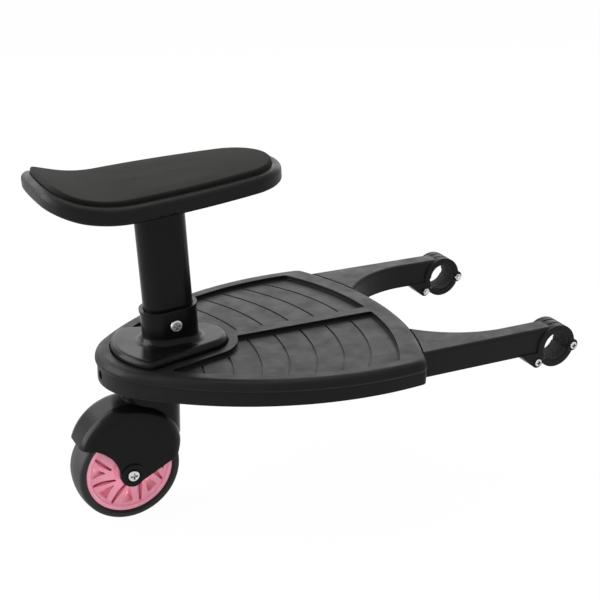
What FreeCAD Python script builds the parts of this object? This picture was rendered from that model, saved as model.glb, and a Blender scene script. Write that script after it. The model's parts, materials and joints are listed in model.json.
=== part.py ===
import FreeCAD, Part
import math
import os
from FreeCAD import Placement, Rotation, Vector

# Buggy board with a seat: a platform that clamps to a pushchair's axle and trails on one caster wheel.
# The origin is the middle of the clamp axis. +X points to the pushchair, +Y to the left, +Z up, in mm.

SIZES = {
    # platform, measured back from the clamp axis and up from it
    "deck_top": (24.0, "deck top above the clamp axis"),
    "deck_depth": (30.0, "deck top to the lower edge of its skirt"),
    "deck_front": (145.0, "clamp axis back to the deck's front edge"),
    "deck_tail": (493.5, "clamp axis back to the deck's tail"),
    "deck_width": (301.0, "deck width at its widest"),
    "deck_widest": (222.0, "clamp axis back to the widest place"),
    "front_radius": (300.0, "curve of the front edge"),
    "tail_radius": (70.0, "curve of the tail"),
    "corner_radius": (16.0, "front corners of the deck"),
    "rim_depth": (12.0, "height of the overhanging rim"),
    "rim_overhang": (7.0, "rim stands out past the skirt's sides"),
    "tail_overhang": (2.0, "rim stands out past the skirt at the tail"),
    "rim_round": (8.5, "rounding of the rim's upper edge"),
    "rim_under_round": (3.0, "rounding of the rim's lower edge"),
    "deck_wall": (3.0, "skirt wall"),
    "deck_floor": (3.0, "plate under the foot panels"),
    "rib_depth": (8.0, "ribs under the plate"),
    "rib_wall": (2.4, "rib thickness"),
    "rib_pitch": (46.0, "distance between ribs"),
    "panel_depth": (4.5, "foot panels below the deck top"),
    "side_border": (17.0, "border beside the foot panels"),
    "front_border": (26.0, "border in front of the foot panels"),
    "panel_front": (245.0, "curve of the foot panels' front edge"),
    "panel_corner": (5.0, "front corners of the foot panels"),
    "panel_round": (3.0, "inner corners of the foot panels"),
    "spine_width": (14.0, "ridge between the foot panels"),
    "groove_pitch": (32.0, "distance between the tread grooves"),
    "groove_first": (201.0, "clamp axis back to the first groove"),
    "groove_radius": (213.0, "curve of the tread grooves"),
    "groove_width": (2.4, "tread groove width"),
    "groove_depth": (1.4, "tread groove depth"),
    "groove_margin": (5.0, "groove ends short of the panel's edge"),
    "tail_hole": (10.0, "round hole in the tail of the skirt"),
    "tail_hole_drop": (20.0, "deck top down to the tail hole"),
    # clamp arms
    "arm_inset": (34.0, "deck's side in to the middle of an arm"),
    "clamp_width": (28.0, "clamp length along its bore"),
    "clamp_bore": (32.0, "tube diameter that the clamps take"),
    "clamp_wall": (7.0, "clamp ring outside its rubber pads"),
    "pad_thickness": (2.0, "rubber pads in the clamp"),
    "pad_inset": (1.0, "rubber pads short of each clamp face"),
    "bond_gap": (0.05, "glue line and press seat clearance"),
    "arm_width": (24.0, "arm width"),
    "arm_depth": (29.0, "arm height"),
    "arm_step": (0.5, "arm top below the deck top"),
    "arm_round": (4.0, "rounding of the arm's upper edges"),
    "arm_wall": (3.5, "walls of the hollow arm"),
    "arm_roof": (5.0, "top wall of the hollow arm"),
    "arm_solid": (46.0, "clamp axis back to the hollow of the arm"),
    "arm_rib_pitch": (36.0, "distance between the arm's inner ribs"),
    "flare_start": (60.0, "clamp axis back to the start of the flare"),
    "flare_radius": (130.0, "curve of the flare into the deck"),
    "seam_gap": (0.15, "joint line between arm and deck"),
    "tenon_width": (18.0, "tongue that carries the arm in the deck"),
    "tenon_depth": (11.0, "tongue height"),
    "tenon_front": (161.0, "clamp axis back to the tongue's start"),
    "tenon_reach": (250.0, "clamp axis back to the tongue's end"),
    "tenon_screw_first": (240.0, "clamp axis back to the rear arm screw"),
    "tenon_screw_pitch": (24.0, "between the two screws of an arm"),
    "screw_boss": (11.0, "screw boss diameter"),
    "hinge_back": (24.5, "hinge pin behind the clamp axis"),
    "hinge_drop": (15.5, "hinge pin below the clamp axis"),
    "lug_rear": (23.8, "hinge lug starts behind the hinge pin"),
    "lug_front": (11.2, "hinge lug ends ahead of the hinge pin"),
    "lug_sink": (1.0, "hinge lug sunk into the arm"),
    "lock_ahead": (23.5, "lock bolt ahead of the clamp axis"),
    "lock_drop": (3.0, "lock bolt below the clamp axis"),
    "knuckle_radius": (7.0, "knuckles round the clamp bolts"),
    "knuckle_width": (10.0, "middle knuckle of the jaw"),
    "knuckle_gap": (0.5, "clearance round a knuckle"),
    "jaw_gap": (0.8, "split between arm and jaw"),
    "ridge_groove": (2.2, "width of the grooves round the clamp head"),
    "ridge_groove_depth": (1.6, "depth of the grooves round the clamp head"),
    "ridge_pitch": (9.4, "between the two grooves round the clamp head"),
    "pin_diameter": (5.0, "clamp bolts"),
    "pin_fit": (0.08, "running clearance on the clamp bolts"),
    "lock_clearance": (0.9, "slot beside the lock bolt"),
    "tube_exit": (0.6, "room beside the tube where it leaves the open clamp"),
    "pin_head": (8.6, "clamp bolt head diameter"),
    "pin_head_depth": (2.6, "clamp bolt head height"),
    "pin_nut": (8.0, "clamp nut across flats"),
    "pin_nut_depth": (3.6, "clamp nut height"),
    "bolt_tail": (1.2, "bolts past their nuts"),
    # seat base and post
    "recess_depth": (4.0, "seat base sunk into the deck"),
    "base_depth": (12.0, "flange of the seat base"),
    "base_round": (6.0, "edge rounding of the flange"),
    "base_nose_back": (381.0, "clamp axis back to the centre of the base's nose curve"),
    "base_nose_radius": (31.0, "nose curve of the base"),
    "base_run": (27.0, "nose centre back to the centre of the rear curve"),
    "base_rear_radius": (68.0, "rear curve of the base"),
    "base_flare": (14.5, "angle of the sides of the base"),
    "base_corner": (7.0, "rear corners of the base"),
    "base_gap": (1.2, "base to the wall of its recess"),
    "ring_width": (9.8, "raised ring round the base"),
    "post_behind": (31.0, "nose centre back to the post's foot, at deck level"),
    "post_lean": (4.3, "post leans back"),
    "post_length": (53.5, "post section along the board"),
    "post_width": (31.5, "post section across the board"),
    "post_wall": (3.0, "post wall"),
    "post_seat": (13.0, "deck level up to the post's lower end"),
    "post_head": (16.0, "solid head of the post"),
    "post_fit": (0.25, "clearance of the post in its sockets"),
    "post_foot_gap": (0.3, "post's lower end above the socket's floor"),
    "collar_wall": (3.5, "socket wall round the post"),
    "collar_top": (47.0, "deck level up to the socket's rim"),
    "collar_bead": (0.8, "bead round the socket's rim stands out"),
    "collar_bead_depth": (3.0, "height of that bead"),
    "collar_round": (8.0, "hollow curve from flange to socket"),
    "cross_height": (30.0, "deck level up to the cross screw"),
    "cross_diameter": (6.0, "cross screw"),
    "cross_head": (13.0, "cross screw head"),
    "cross_head_depth": (2.8, "cross screw head height"),
    "cross_nut": (10.0, "cross screw nut across flats"),
    "cross_nut_depth": (5.0, "cross screw nut height"),
    "base_screw_front": (-3.0, "nose centre back to the front base screws"),
    "base_screw_front_y": (20.0, "front base screws from the middle"),
    "base_screw_rear": (75.0, "nose centre back to the rear base screws"),
    "base_screw_rear_y": (36.0, "rear base screws from the middle"),
    # seat, in the leaning frame of the post
    "seat_level": (184.5, "deck level up to the seat pan's top, along the post"),
    "seat_nose": (123.5, "post axis forward to the pad's front"),
    "seat_nose_radius": (47.0, "front curve of the pad"),
    "seat_width": (116.6, "pad width at its widest"),
    "seat_widest": (42.0, "post axis back to the widest place"),
    "seat_rear": (118.0, "post axis back to the pad's rear edge"),
    "seat_rear_radius": (280.0, "rear curve of the pad"),
    "seat_corner": (30.0, "rear corners of the pad"),
    "pan_border": (9.7, "pan stands out past the pad"),
    "pan_depth": (17.4, "pan height"),
    "pan_wall": (3.0, "pan wall"),
    "pan_round": (6.5, "rounding of the pan's upper edge"),
    "pan_under_round": (4.0, "rounding of the pan's lower edge"),
    "kick_start": (44.7, "post axis back to where the seat turns up"),
    "kick_rise": (27.5, "rise of the seat's rear edge"),
    "pan_recess": (4.0, "pad sunk into the pan"),
    "cushion_depth": (8.0, "pad thickness at its edge"),
    "cushion_crown": (2.2, "rise of the pad's middle"),
    "cushion_round": (3.0, "rounding of the pad's upper edge"),
    "cushion_foot": (1.5, "pad drawn in at its lower edge"),
    "cushion_gap": (0.35, "pad clear of the pan"),
    "seat_screw_pitch": (26.0, "between the two seat screws"),
    "pan_rib_offset": (18.0, "long ribs under the pan from its middle"),
    "pan_cross_ahead": (61.0, "cross rib under the pan ahead of the post"),
    # caster
    "swivel_behind": (43.0, "nose centre of the seat base back to the swivel axis"),
    "trail": (44.0, "swivel axis back to the axle"),
    "wheel_drop": (107.5, "clamp axis down to the axle"),
    "tyre_diameter": (116.0, "tyre"),
    "tyre_width": (38.0, "tyre width"),
    "tyre_shoulder": (4.0, "rounding of the tyre's shoulders"),
    "tyre_crown": (1.7, "crown of the tread"),
    "hub_diameter": (96.0, "tyre seat on the hub"),
    "hub_width": (31.0, "hub rim width"),
    "hub_lip": (4.0, "hub rim height"),
    "hub_web": (15.0, "hub web thickness in its hollow"),
    "hub_boss": (32.0, "hub boss diameter"),
    "hub_boss_width": (35.0, "hub boss length"),
    "hub_draft": (1.0, "slope of the hub's boss and rim"),
    "hub_step": (2.0, "foot of the boss above the web, and edge of the rim"),
    "bearing_shoulder": (2.0, "step behind each wheel bearing"),
    "spoke_holes": (8.0, "holes in the hub web"),
    "spoke_first": (41.0, "angle of the first hole's middle at the rim"),
    "spoke_half": (9.0, "half the angle of a hole at the rim"),
    "spoke_sweep": (10.0, "angle by which a hole's inner tip leads its middle"),
    "spoke_rim": (3.5, "web left between a hole and the rim"),
    "spoke_root": (8.5, "web left between a hole and the boss"),
    "swirl_first": (16.0, "angle of the first channel's outer end"),
    "swirl_sweep": (25.0, "angle by which a channel's inner end leads its outer one"),
    "swirl_inner": (19.0, "axle out to the inner end of the channels"),
    "swirl_outer": (42.0, "axle out to the outer end of the channels"),
    "swirl_width": (2.4, "channels in the hub's faces"),
    "swirl_depth": (2.0, "depth of those channels"),
    "hood_gap": (3.5, "hood clear of the tyre"),
    "hood_wall": (4.5, "hood wall"),
    "hood_tip": (145.0, "angle of the hood's rear lip"),
    "hood_front": (28.0, "angle of the hood's front lip"),
    "hood_crown": (13.0, "rise of the hood's top"),
    "hood_round": (14.0, "edge rounding of the hood"),
    "hood_inner_round": (4.0, "rounding inside the hood's edges"),
    "fork_side_gap": (2.0, "fork cheek clear of the tyre"),
    "fork_cheek": (5.0, "fork cheek thickness"),
    "axle_boss": (27.0, "lower end of the fork cheeks"),
    "boss_front": (-50.0, "angle where the cheek's front edge meets that end"),
    "boss_rear": (170.0, "angle where the cheek's rear edge meets that end"),
    "knee_reach": (53.6, "axle out to the front corner of the cheeks"),
    "knee_angle": (12.8, "angle of that corner"),
    "lip_length": (14.7, "hood's rear lip along the board"),
    "lip_drop": (1.0, "fall of that lip"),
    "axle_ring": (26.0, "raised ring round the axle screw"),
    "axle_ring_depth": (2.0, "height of that ring"),
    "cheek_window": (44.0, "curve of the cheek's rear edge"),
    "neck_width": (38.0, "fork neck width"),
    "neck_reach": (25.0, "swivel axis back to the centre of the neck's rear curve"),
    "swivel_gap": (0.3, "fork neck below its thrust washer"),
    "axle_diameter": (8.0, "axle screw"),
    "axle_head": (12.6, "axle screw head"),
    "axle_head_depth": (3.6, "axle screw head height"),
    "axle_nut": (13.0, "axle nut across flats"),
    "axle_nut_depth": (6.5, "axle nut height"),
    "axle_sink": (16.2, "hollow round the axle screw's head and nut"),
    "axle_fit": (0.05, "running clearance on the axle"),
    "bearing_diameter": (22.0, "wheel bearing"),
    "bearing_width": (7.0, "wheel bearing"),
    "spacer_wall": (2.0, "axle spacers"),
    "king_diameter": (12.0, "swivel pin"),
    "king_fit": (0.05, "running clearance of the swivel pin"),
    "king_root": (34.0, "swivel pin held in the fork"),
    "king_nut": (19.0, "swivel nut across flats"),
    "king_nut_depth": (6.0, "swivel nut height"),
    "king_washer": (1.6, "swivel washer thickness"),
    "washer_diameter": (25.6, "swivel washer"),
    "king_tail": (1.2, "swivel pin past its nut"),
    "bush_diameter": (20.0, "swivel bushes"),
    "bush_flange": (28.0, "flange of the swivel bushes"),
    "bush_flange_depth": (2.0, "flange thickness of the swivel bushes"),
    "bush_length": (12.0, "swivel bushes in the deck"),
    "swivel_boss": (34.0, "boss under the deck for the swivel"),
    "nut_pocket": (32.0, "hollow over the swivel nut"),
    "nut_pocket_gap": (1.5, "room over the swivel pin"),
    # small screws
    "screw_diameter": (5.0, "self-tapping screws"),
    "screw_hole_gap": (0.2, "clearance round the screws"),
    "screw_head": (9.0, "screw head diameter"),
    "screw_head_depth": (3.0, "screw head height"),
    "head_round": (0.45, "rounding of a screw head against its height"),
    "head_room": (0.8, "room round a sunk screw head"),
    "screw_grip": (8.0, "screw length in the piece it holds"),
    "drive_width": (2.0, "cross recess in the screw heads"),
    "drive_share": (0.6, "cross recess against the head's diameter"),
    "drive_depth": (1.8, "cross recess depth"),
}

doc = FreeCAD.newDocument("BuggyBoard")
sheet = doc.addObject("Spreadsheet::Sheet", "Sizes")
for row, (name, (value, note)) in enumerate(SIZES.items(), 1):
    sheet.set("A%d" % row, name)
    sheet.set("B%d" % row, str(value))
    sheet.set("C%d" % row, note)
    sheet.setAlias("B%d" % row, name)
doc.recompute()
LINKS = {name: "Sizes." + name for name in SIZES}

# Places that follow from the sizes: the arms keep to the deck's sides, and the post and the caster
# to the seat base
arm_offset = sheet.deck_width / 2 - sheet.arm_inset
base_rear_back = sheet.base_nose_back + sheet.base_run
post_back = sheet.base_nose_back + sheet.post_behind
swivel_back = sheet.base_nose_back + sheet.swivel_behind
wheel_back = swivel_back + sheet.trail
LINKS["arm_offset"] = "(Sizes.deck_width / 2 - Sizes.arm_inset)"
LINKS["post_back"] = "(Sizes.base_nose_back + Sizes.post_behind)"
LINKS["swivel_back"] = "(Sizes.base_nose_back + Sizes.swivel_behind)"
LINKS["wheel_back"] = "(Sizes.base_nose_back + Sizes.swivel_behind + Sizes.trail)"

UPRIGHT = Rotation()
SIDE = Rotation(Vector(1, 0, 0), 90)  # sketch x forward, sketch y up, normal to the right
FRONT = Rotation(Vector(0, 1, 0), Vector(0, 0, 1), Vector(1, 0, 0), "XYZ")  # sketch x left, sketch y up
ALONG_Y = Rotation(Vector(1, 0, 0), -90)
AGAINST_Y = Rotation(Vector(1, 0, 0), 90)
ALONG_X = Rotation(Vector(0, 1, 0), 90)
SIDES = (("left", 1), ("right", -1))
nodes = []


# Shared ways of making pieces

def bind(item, prop, text):
    item.setExpression(prop, text.format_map(LINKS))


def place(item, x="0", y="0", z="0", turn=UPRIGHT):
    item.Placement = Placement(Vector(), turn)
    for axis, text in zip("xyz", (x, y, z)):
        bind(item, "Placement.Base." + axis, text)
    return item


def rod(name, diameter, length, x="0", y="0", z="0", turn=UPRIGHT):
    item = doc.addObject("Part::Cylinder", name)
    bind(item, "Radius", "(" + diameter + ") / 2")
    bind(item, "Height", length)
    return place(item, x, y, z, turn)


def across(name, diameter, width, x, y, z):
    # a cylinder along Y whose middle is at y
    return rod(name, diameter, width, x, "(%s) - (%s) / 2" % (y, width), z, ALONG_Y)


def block(name, size_x, size_y, size_z, x, y, z):
    # a box by its size and the middle of its lower face
    item = doc.addObject("Part::Box", name)
    bind(item, "Length", size_x)
    bind(item, "Width", size_y)
    bind(item, "Height", size_z)
    return place(item, "(%s) - (%s) / 2" % (x, size_x), "(%s) - (%s) / 2" % (y, size_y), z)


def join(name, *items):
    item = doc.addObject("Part::MultiFuse", name)
    item.Shapes = list(items)
    return item


def cut(name, body, *tools):
    item = doc.addObject("Part::Cut", name)
    item.Base = body
    item.Tool = tools[0] if len(tools) == 1 else join(name + "Tools", *tools)
    return item


def common(name, *items):
    item = doc.addObject("Part::MultiCommon", name)
    item.Shapes = list(items)
    return item


def group(name, *items):
    item = doc.addObject("Part::Compound", name)
    item.Links = list(items)
    return item


def rounded(name, body, radius, wanted):
    # rounds the edges for which wanted(edge) is true
    doc.recompute()
    item = doc.addObject("Part::Fillet", name)
    item.Base = body
    picked = [number for number, edge in enumerate(body.Shape.Edges, 1) if wanted(edge)]
    item.Edges = [(number, radius, radius) for number in picked]
    return item


def rim_of(body, way):
    # picks the edges round the faces that look up, or down for a way of -1
    doc.recompute()
    edges = []
    for face in body.Shape.Faces:
        first_u, last_u, first_v, last_v = face.ParameterRange
        if face.normalAt((first_u + last_u) / 2, (first_v + last_v) / 2).z * way > 0.5:
            edges.extend(face.Edges)
    return lambda edge: sum(edge.isSame(other) for other in edges) == 1


def node(name, item):
    item.Label = name
    nodes.append(item)
    return item


def at(x, y):
    return Vector(x, y, 0)


def path(start, *steps):
    # closed outline: a step is an end point, or a point on an arc and the arc's end point
    edges = []
    here = start
    for step in steps:
        if isinstance(step, tuple):
            edges.append(Part.Arc(here, step[0], step[1]))
            here = step[1]
        else:
            edges.append(Part.LineSegment(here, step))
            here = step
    if (here - start).Length > 1e-6:
        edges.append(Part.LineSegment(here, start))
    return edges


def trace(name, loops):
    item = doc.addObject("Sketcher::SketchObject", name)
    for loop in loops:
        item.addGeometry(loop, False)
    return item


def extrude(name, outline, length, symmetric=False):
    item = doc.addObject("Part::Extrusion", name)
    item.Base = outline
    item.DirMode = "Normal"
    item.Solid = True
    item.Symmetric = symmetric
    bind(item, "LengthFwd", length)
    return item


def slab(name, outline, bottom, height):
    # a plan outline carried upwards
    return extrude(name, place(trace(name + "Outline", [outline]), z=bottom), height)


def profile(name, outline, width, y="0"):
    # a side outline carried across, half to each side of y
    return extrude(name, place(trace(name + "Outline", [outline]), y=y, turn=SIDE), width, True)


def turned(name, outline, axis):
    # an outline of radius and height turned about Z, or about Y
    item = doc.addObject("Part::Revolution", name)
    item.Source = place(trace(name + "Outline", [outline]), turn=SIDE if axis == "z" else UPRIGHT)
    item.Axis = Vector(0, 0, 1) if axis == "z" else Vector(0, 1, 0)
    item.Angle = 360.0
    item.Solid = True
    return item


def ring(name, outer, inner, length, x="0", y="0", z="0", turn=UPRIGHT):
    return cut(name, rod(name + "Outer", outer, length, x, y, z, turn),
               rod(name + "Inner", inner, length, x, y, z, turn))


def hex_nut(name, flats, bore, height, x, y, z, turn):
    item = doc.addObject("Part::Prism", name + "Hex")
    item.Polygon = 6
    bind(item, "Circumradius", "(%s) / sqrt(3)" % flats)
    bind(item, "Height", height)
    place(item, x, y, z, turn)
    return cut(name, item, rod(name + "Bore", bore, height, x, y, z, turn))


def pan_screw(name, diameter, length, head, head_depth, x, y, z, turn):
    # a round-headed screw whose shank starts at the point given and runs along the turned Z axis
    shank = rod(name + "Shank", diameter, length)
    dome = rod(name + "Dome", head, head_depth, z="-(%s)" % head_depth)
    top = -dome_depth(head_depth)
    dome = rounded(name + "Head", dome, -top * sheet.head_round, lambda edge: flat_at(edge, top))
    slots = [block(name + "Slot%d" % number, wide, tall, "{drive_depth}", "0", "0", "-(%s)" % head_depth)
             for number, (wide, tall) in enumerate(cross_slot(head))]
    return place(cut(name, join(name + "Body", shank, dome), *slots), x, y, z, turn)


def cross_slot(head):
    reach = "(%s) * {drive_share}" % head
    return ((reach, "{drive_width}"), ("{drive_width}", reach))


def dome_depth(text):
    return float(getattr(sheet, text.strip("{}")))


def flat_at(edge, z):
    return all(abs(vertex.Z - z) < 1e-6 for vertex in edge.Vertexes)


def unit(vector):
    return vector * (1.0 / vector.Length)


def meet(centre_a, radius_a, centre_b, radius_b, side):
    # where two circles cross, on the side of the line between their centres that has y of that sign
    span = centre_b - centre_a
    along = (span.Length ** 2 + radius_a ** 2 - radius_b ** 2) / (2 * span.Length)
    off = math.sqrt(radius_a ** 2 - along ** 2)
    forward = unit(span)
    sideways = at(-forward.y, forward.x)
    found = [centre_a + forward * along + sideways * off, centre_a + forward * along - sideways * off]
    return max(found, key=lambda point: point.y * side)


def arc_middle(centre, start, end):
    return centre + unit(unit(start - centre) + unit(end - centre)) * (start - centre).Length


def mirrored(point):
    return at(point.x, -point.y)


def egg(nose, nose_radius, widest, half_width, end, end_radius, corner, inset=0.0, end_inset=None):
    # plan outline: a nose curve, a long side curve that runs into it, a corner and an end curve.
    # nose is at the lower x; inset draws the whole outline in, end_inset the end curve by another amount
    end_inset = inset if end_inset is None else end_inset
    nose_centre = at(nose + nose_radius, 0)
    run = widest - nose_centre.x
    side_radius = (run ** 2 + half_width ** 2 - nose_radius ** 2) / (2 * (half_width - nose_radius))
    side_centre = at(widest, half_width - side_radius)
    end_centre = at(end - end_radius, 0)
    bend = meet(side_centre, side_radius - inset - corner, end_centre, end_radius - end_inset - corner, 1)
    first = nose_centre + unit(nose_centre - side_centre) * (nose_radius - inset)
    second = bend + unit(bend - side_centre) * corner
    third = bend + unit(bend - end_centre) * corner
    side_middle = arc_middle(side_centre, first, second)
    bend_middle = arc_middle(bend, second, third)
    return path(first, (side_middle, second), (bend_middle, third),
                (at(end - end_inset, 0), mirrored(third)), (mirrored(bend_middle), mirrored(second)),
                (mirrored(side_middle), mirrored(first)), (at(nose + inset, 0), first))


# Platform

half_deck = sheet.deck_width / 2
front_centre = at(-sheet.deck_front - sheet.front_radius, 0)
DECK_BOTTOM = "{deck_top} - {deck_depth}"
CEILING = "{deck_top} - {panel_depth} - {deck_floor}"
RECESS = "{deck_top} - {recess_depth}"
PANEL = "{deck_top} - {panel_depth}"
ARM_TOP = "{deck_top} - {arm_step}"
ARM_BOTTOM = "{deck_top} - {arm_step} - {arm_depth}"
TENON_TOP = ARM_BOTTOM + " + {tenon_depth}"
CLAMP_Y = "%d * {arm_offset}"


def deck_outline(side_inset=0.0, tail_inset=0.0, front_inset=0.0):
    return egg(-sheet.deck_tail + tail_inset - side_inset, sheet.tail_radius, -sheet.deck_widest, half_deck,
               -sheet.deck_front, sheet.front_radius, sheet.corner_radius - side_inset, side_inset,
               front_inset)


def panel_outline(margin):
    # outer edge of the foot panels, beside the deck's sides and with a front curve of its own
    return egg(-sheet.deck_tail, sheet.tail_radius, -sheet.deck_widest, half_deck,
               -sheet.deck_front - sheet.front_border, sheet.panel_front, sheet.panel_corner,
               sheet.side_border + margin, margin)


def shield(offset):
    # outline of the seat base: a nose curve, straight sides that flare to the rear, a wide rear curve
    slope = math.radians(sheet.base_flare)
    outward = at(math.sin(slope), math.cos(slope))
    backward = at(-math.cos(slope), math.sin(slope))
    nose = at(-sheet.base_nose_back, 0)
    rear = at(-base_rear_back, 0)
    corner = sheet.base_corner
    start = nose + outward * (sheet.base_nose_radius - corner) - rear
    reach = sheet.base_rear_radius - corner
    half = start.dot(backward)
    travel = -half + math.sqrt(half ** 2 - start.Length ** 2 + reach ** 2)
    bend = rear + start + backward * travel
    first = nose + outward * (sheet.base_nose_radius + offset)
    second = bend + outward * (corner + offset)
    third = bend + unit(bend - rear) * (corner + offset)
    bend_middle = arc_middle(bend, second, third)
    nose_tip = nose + at(sheet.base_nose_radius + offset, 0)
    rear_tip = rear - at(sheet.base_rear_radius + offset, 0)
    return path(first, second, (bend_middle, third), (rear_tip, mirrored(third)),
                (mirrored(bend_middle), mirrored(second)), mirrored(first), (nose_tip, first))


def arm_plan(side, tip, grow=0.0, root_shift=0.0):
    # plan of an arm: straight to the clamp, flared at its root, ended by the curve of the deck's edge
    seam = sheet.front_radius - sheet.deck_wall + root_shift - grow
    outer = side * (arm_offset + sheet.arm_width / 2 + grow)
    inner = side * (arm_offset - sheet.arm_width / 2 - grow)
    bend = sheet.flare_radius - grow
    bend_centre = at(-sheet.flare_start, inner - side * bend)
    root_inner = meet(front_centre, seam, bend_centre, bend, side)
    root_outer = at(front_centre.x + math.sqrt(seam ** 2 - outer ** 2), outer)
    straight = at(-sheet.flare_start, inner)
    return path(root_outer, at(tip, outer), at(tip, inner), straight,
                (arc_middle(bend_centre, straight, root_inner), root_inner),
                (arc_middle(front_centre, root_inner, root_outer), root_outer))


def hollow_outline():
    # inside of the skirt, whose front is flush with the rim
    wall = sheet.deck_wall
    return deck_outline(sheet.rim_overhang + wall, sheet.tail_overhang + wall, wall)


def deck_shell():
    rim = slab("Rim", deck_outline(), "{deck_top} - {rim_depth}", "{rim_depth}")
    rim = rounded("RimTop", rim, sheet.rim_round, lambda edge: flat_at(edge, sheet.deck_top))
    under = sheet.deck_top - sheet.rim_depth
    rim = rounded("RimUnder", rim, sheet.rim_under_round, lambda edge: flat_at(edge, under))
    skirt = slab("Skirt", deck_outline(sheet.rim_overhang, sheet.tail_overhang), DECK_BOTTOM,
                 "{deck_depth} - {rim_depth}")
    hollow = slab("Hollow", hollow_outline(), DECK_BOTTOM, "{deck_depth} - {panel_depth} - {deck_floor}")
    return cut("Shell", join("ShellSolid", rim, skirt), hollow)


def deck_ribs():
    # a grid of ribs under the plate, ended at the skirt
    space = slab("RibSpace", hollow_outline(), CEILING + " - {rib_depth}", "{rib_depth}")
    bars = []
    rows = int(half_deck / sheet.rib_pitch)
    for number in range(-rows, rows + 1):
        y = "%d * {rib_pitch}" % number
        bars.append(block("LongRib%d" % (number + rows), "{deck_tail} - {deck_front}", "{rib_wall}",
                          "{rib_depth}", "-({deck_tail} + {deck_front}) / 2", y,
                          CEILING + " - {rib_depth}"))
    for number in range(1, int((sheet.deck_tail - sheet.deck_front) / sheet.rib_pitch) + 1):
        bars.append(block("CrossRib%d" % number, "{rib_wall}", "{deck_width}", "{rib_depth}",
                          "-{deck_front} - %d * {rib_pitch}" % number, "0", CEILING + " - {rib_depth}"))
    return common("Ribs", space, join("RibGrid", *bars))


def foot_area(name, margin, bottom, height):
    # the plan of both foot panels, drawn in by a margin
    area = slab(name + "Area", panel_outline(margin), bottom, height)
    island = slab(name + "Island", shield(sheet.base_gap + sheet.ring_width + margin), bottom, height)
    ridge = block(name + "Ridge", "{base_nose_back} - {deck_front}", "{spine_width} + %f" % (2 * margin),
                  height, "-({base_nose_back} + {deck_front}) / 2", "0", bottom)
    return cut(name, area, island, ridge)


def tread_grooves():
    floor = foot_area("GrooveArea", sheet.groove_margin, PANEL + " - {groove_depth}", "2 * {groove_depth}")
    count = int((sheet.deck_tail - sheet.groove_first) / sheet.groove_pitch) - 1
    bands = []
    for number in range(count):
        apex = -sheet.groove_first - number * sheet.groove_pitch
        centre = at(apex - sheet.groove_radius, 0)
        outer = sheet.groove_radius + sheet.groove_width / 2
        inner = sheet.groove_radius - sheet.groove_width / 2
        angle = math.asin(half_deck / inner)
        way = at(math.cos(angle), math.sin(angle))
        back = mirrored(way)
        bands.append(slab("Groove%d" % number,
                          path(centre + way * outer, (centre + at(outer, 0), centre + back * outer),
                               centre + back * inner, (centre + at(inner, 0), centre + way * inner)),
                          PANEL + " - {groove_depth}", "2 * {groove_depth}"))
    return common("Grooves", floor, join("GrooveBands", *bands))


def screw_spots():
    # arm screws, as places along and across the board
    return [("-{tenon_screw_first} + %d * {tenon_screw_pitch}" % number, CLAMP_Y % side)
            for _, side in SIDES for number in range(2)]


def base_spots():
    # screws that hold the seat base, two at the front and two at the rear
    return [("-{base_nose_back} - {base_screw_%s}" % end, "%d * {base_screw_%s_y}" % (side, end))
            for end in ("front", "rear") for _, side in SIDES]


def build_deck():
    bosses = [rod("ArmBoss%d" % number, "{screw_boss}", CEILING + " - (" + TENON_TOP + ")", x, y, TENON_TOP)
              for number, (x, y) in enumerate(screw_spots())]
    swivel = rod("SwivelBoss", "{swivel_boss}", "{deck_depth} - {recess_depth}", "-{swivel_back}", "0",
                 DECK_BOTTOM)
    solid = join("DeckSolid", deck_shell(), deck_ribs(), swivel, *bosses)
    panels = foot_area("Panels", 0.0, PANEL, "2 * {panel_depth}")
    panels = rounded("PanelCorners", panels, sheet.panel_round,
                     lambda edge: abs(edge.Vertexes[0].Z - edge.Vertexes[-1].Z) > sheet.panel_depth)
    recess = slab("BaseRecess", shield(sheet.base_gap), RECESS, "2 * {recess_depth}")
    notches = [slab("ArmNotch%d" % number, arm_plan(side, 0.0, sheet.seam_gap), DECK_BOTTOM,
                    "2 * {deck_depth}") for number, (_, side) in enumerate(SIDES)]
    king = rod("BushBore", "{bush_diameter} + 2 * {bond_gap}", "{deck_depth}", "-{swivel_back}", "0",
               DECK_BOTTOM)
    tail = rod("TailHole", "{tail_hole}", "4 * {deck_wall}", "-{deck_tail}", "0",
               "{deck_top} - {tail_hole_drop}", ALONG_X)
    pilots = [rod("ArmPilot%d" % number, "{screw_diameter} + 2 * {bond_gap}",
                  "{screw_grip} + {screw_hole_gap}", x, y, TENON_TOP)
              for number, (x, y) in enumerate(screw_spots())]
    passes = [rod("BasePass%d" % number, "{screw_diameter} + 2 * {screw_hole_gap}", "{deck_depth}", x, y,
                  DECK_BOTTOM) for number, (x, y) in enumerate(base_spots())]
    seats = [rod("BaseSeat%d" % number, "{screw_head} + 2 * {head_room}",
                 CEILING + " - (" + DECK_BOTTOM + ")", x, y, DECK_BOTTOM)
             for number, (x, y) in enumerate(base_spots())]
    node("deck", cut("Deck", solid, panels, tread_grooves(), recess, king, tail, *notches, *pilots,
                     *passes, *seats))


# Clamp arms and their jaws

hinge = at(-sheet.hinge_back, -sheet.hinge_drop)
lock = at(sheet.lock_ahead, -sheet.lock_drop)
split_way = unit(lock - hinge)
split_up = at(-split_way.y, split_way.x)
EYE = "{clamp_bore} + 2 * {pad_thickness} + 2 * {clamp_wall}"
JAW_BORE = "{clamp_bore} + 2 * {pad_thickness}"
eye_radius = sheet.clamp_bore / 2 + sheet.pad_thickness + sheet.clamp_wall
HINGE = ("-{hinge_back}", "-{hinge_drop}")
LOCK = ("{lock_ahead}", "-{lock_drop}")
ZONE = "{knuckle_width} + 2 * {knuckle_gap}"
KNUCKLE = "2 * {knuckle_radius}"
KNUCKLE_SPACE = "2 * {knuckle_radius} + 2 * {knuckle_gap}"


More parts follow.
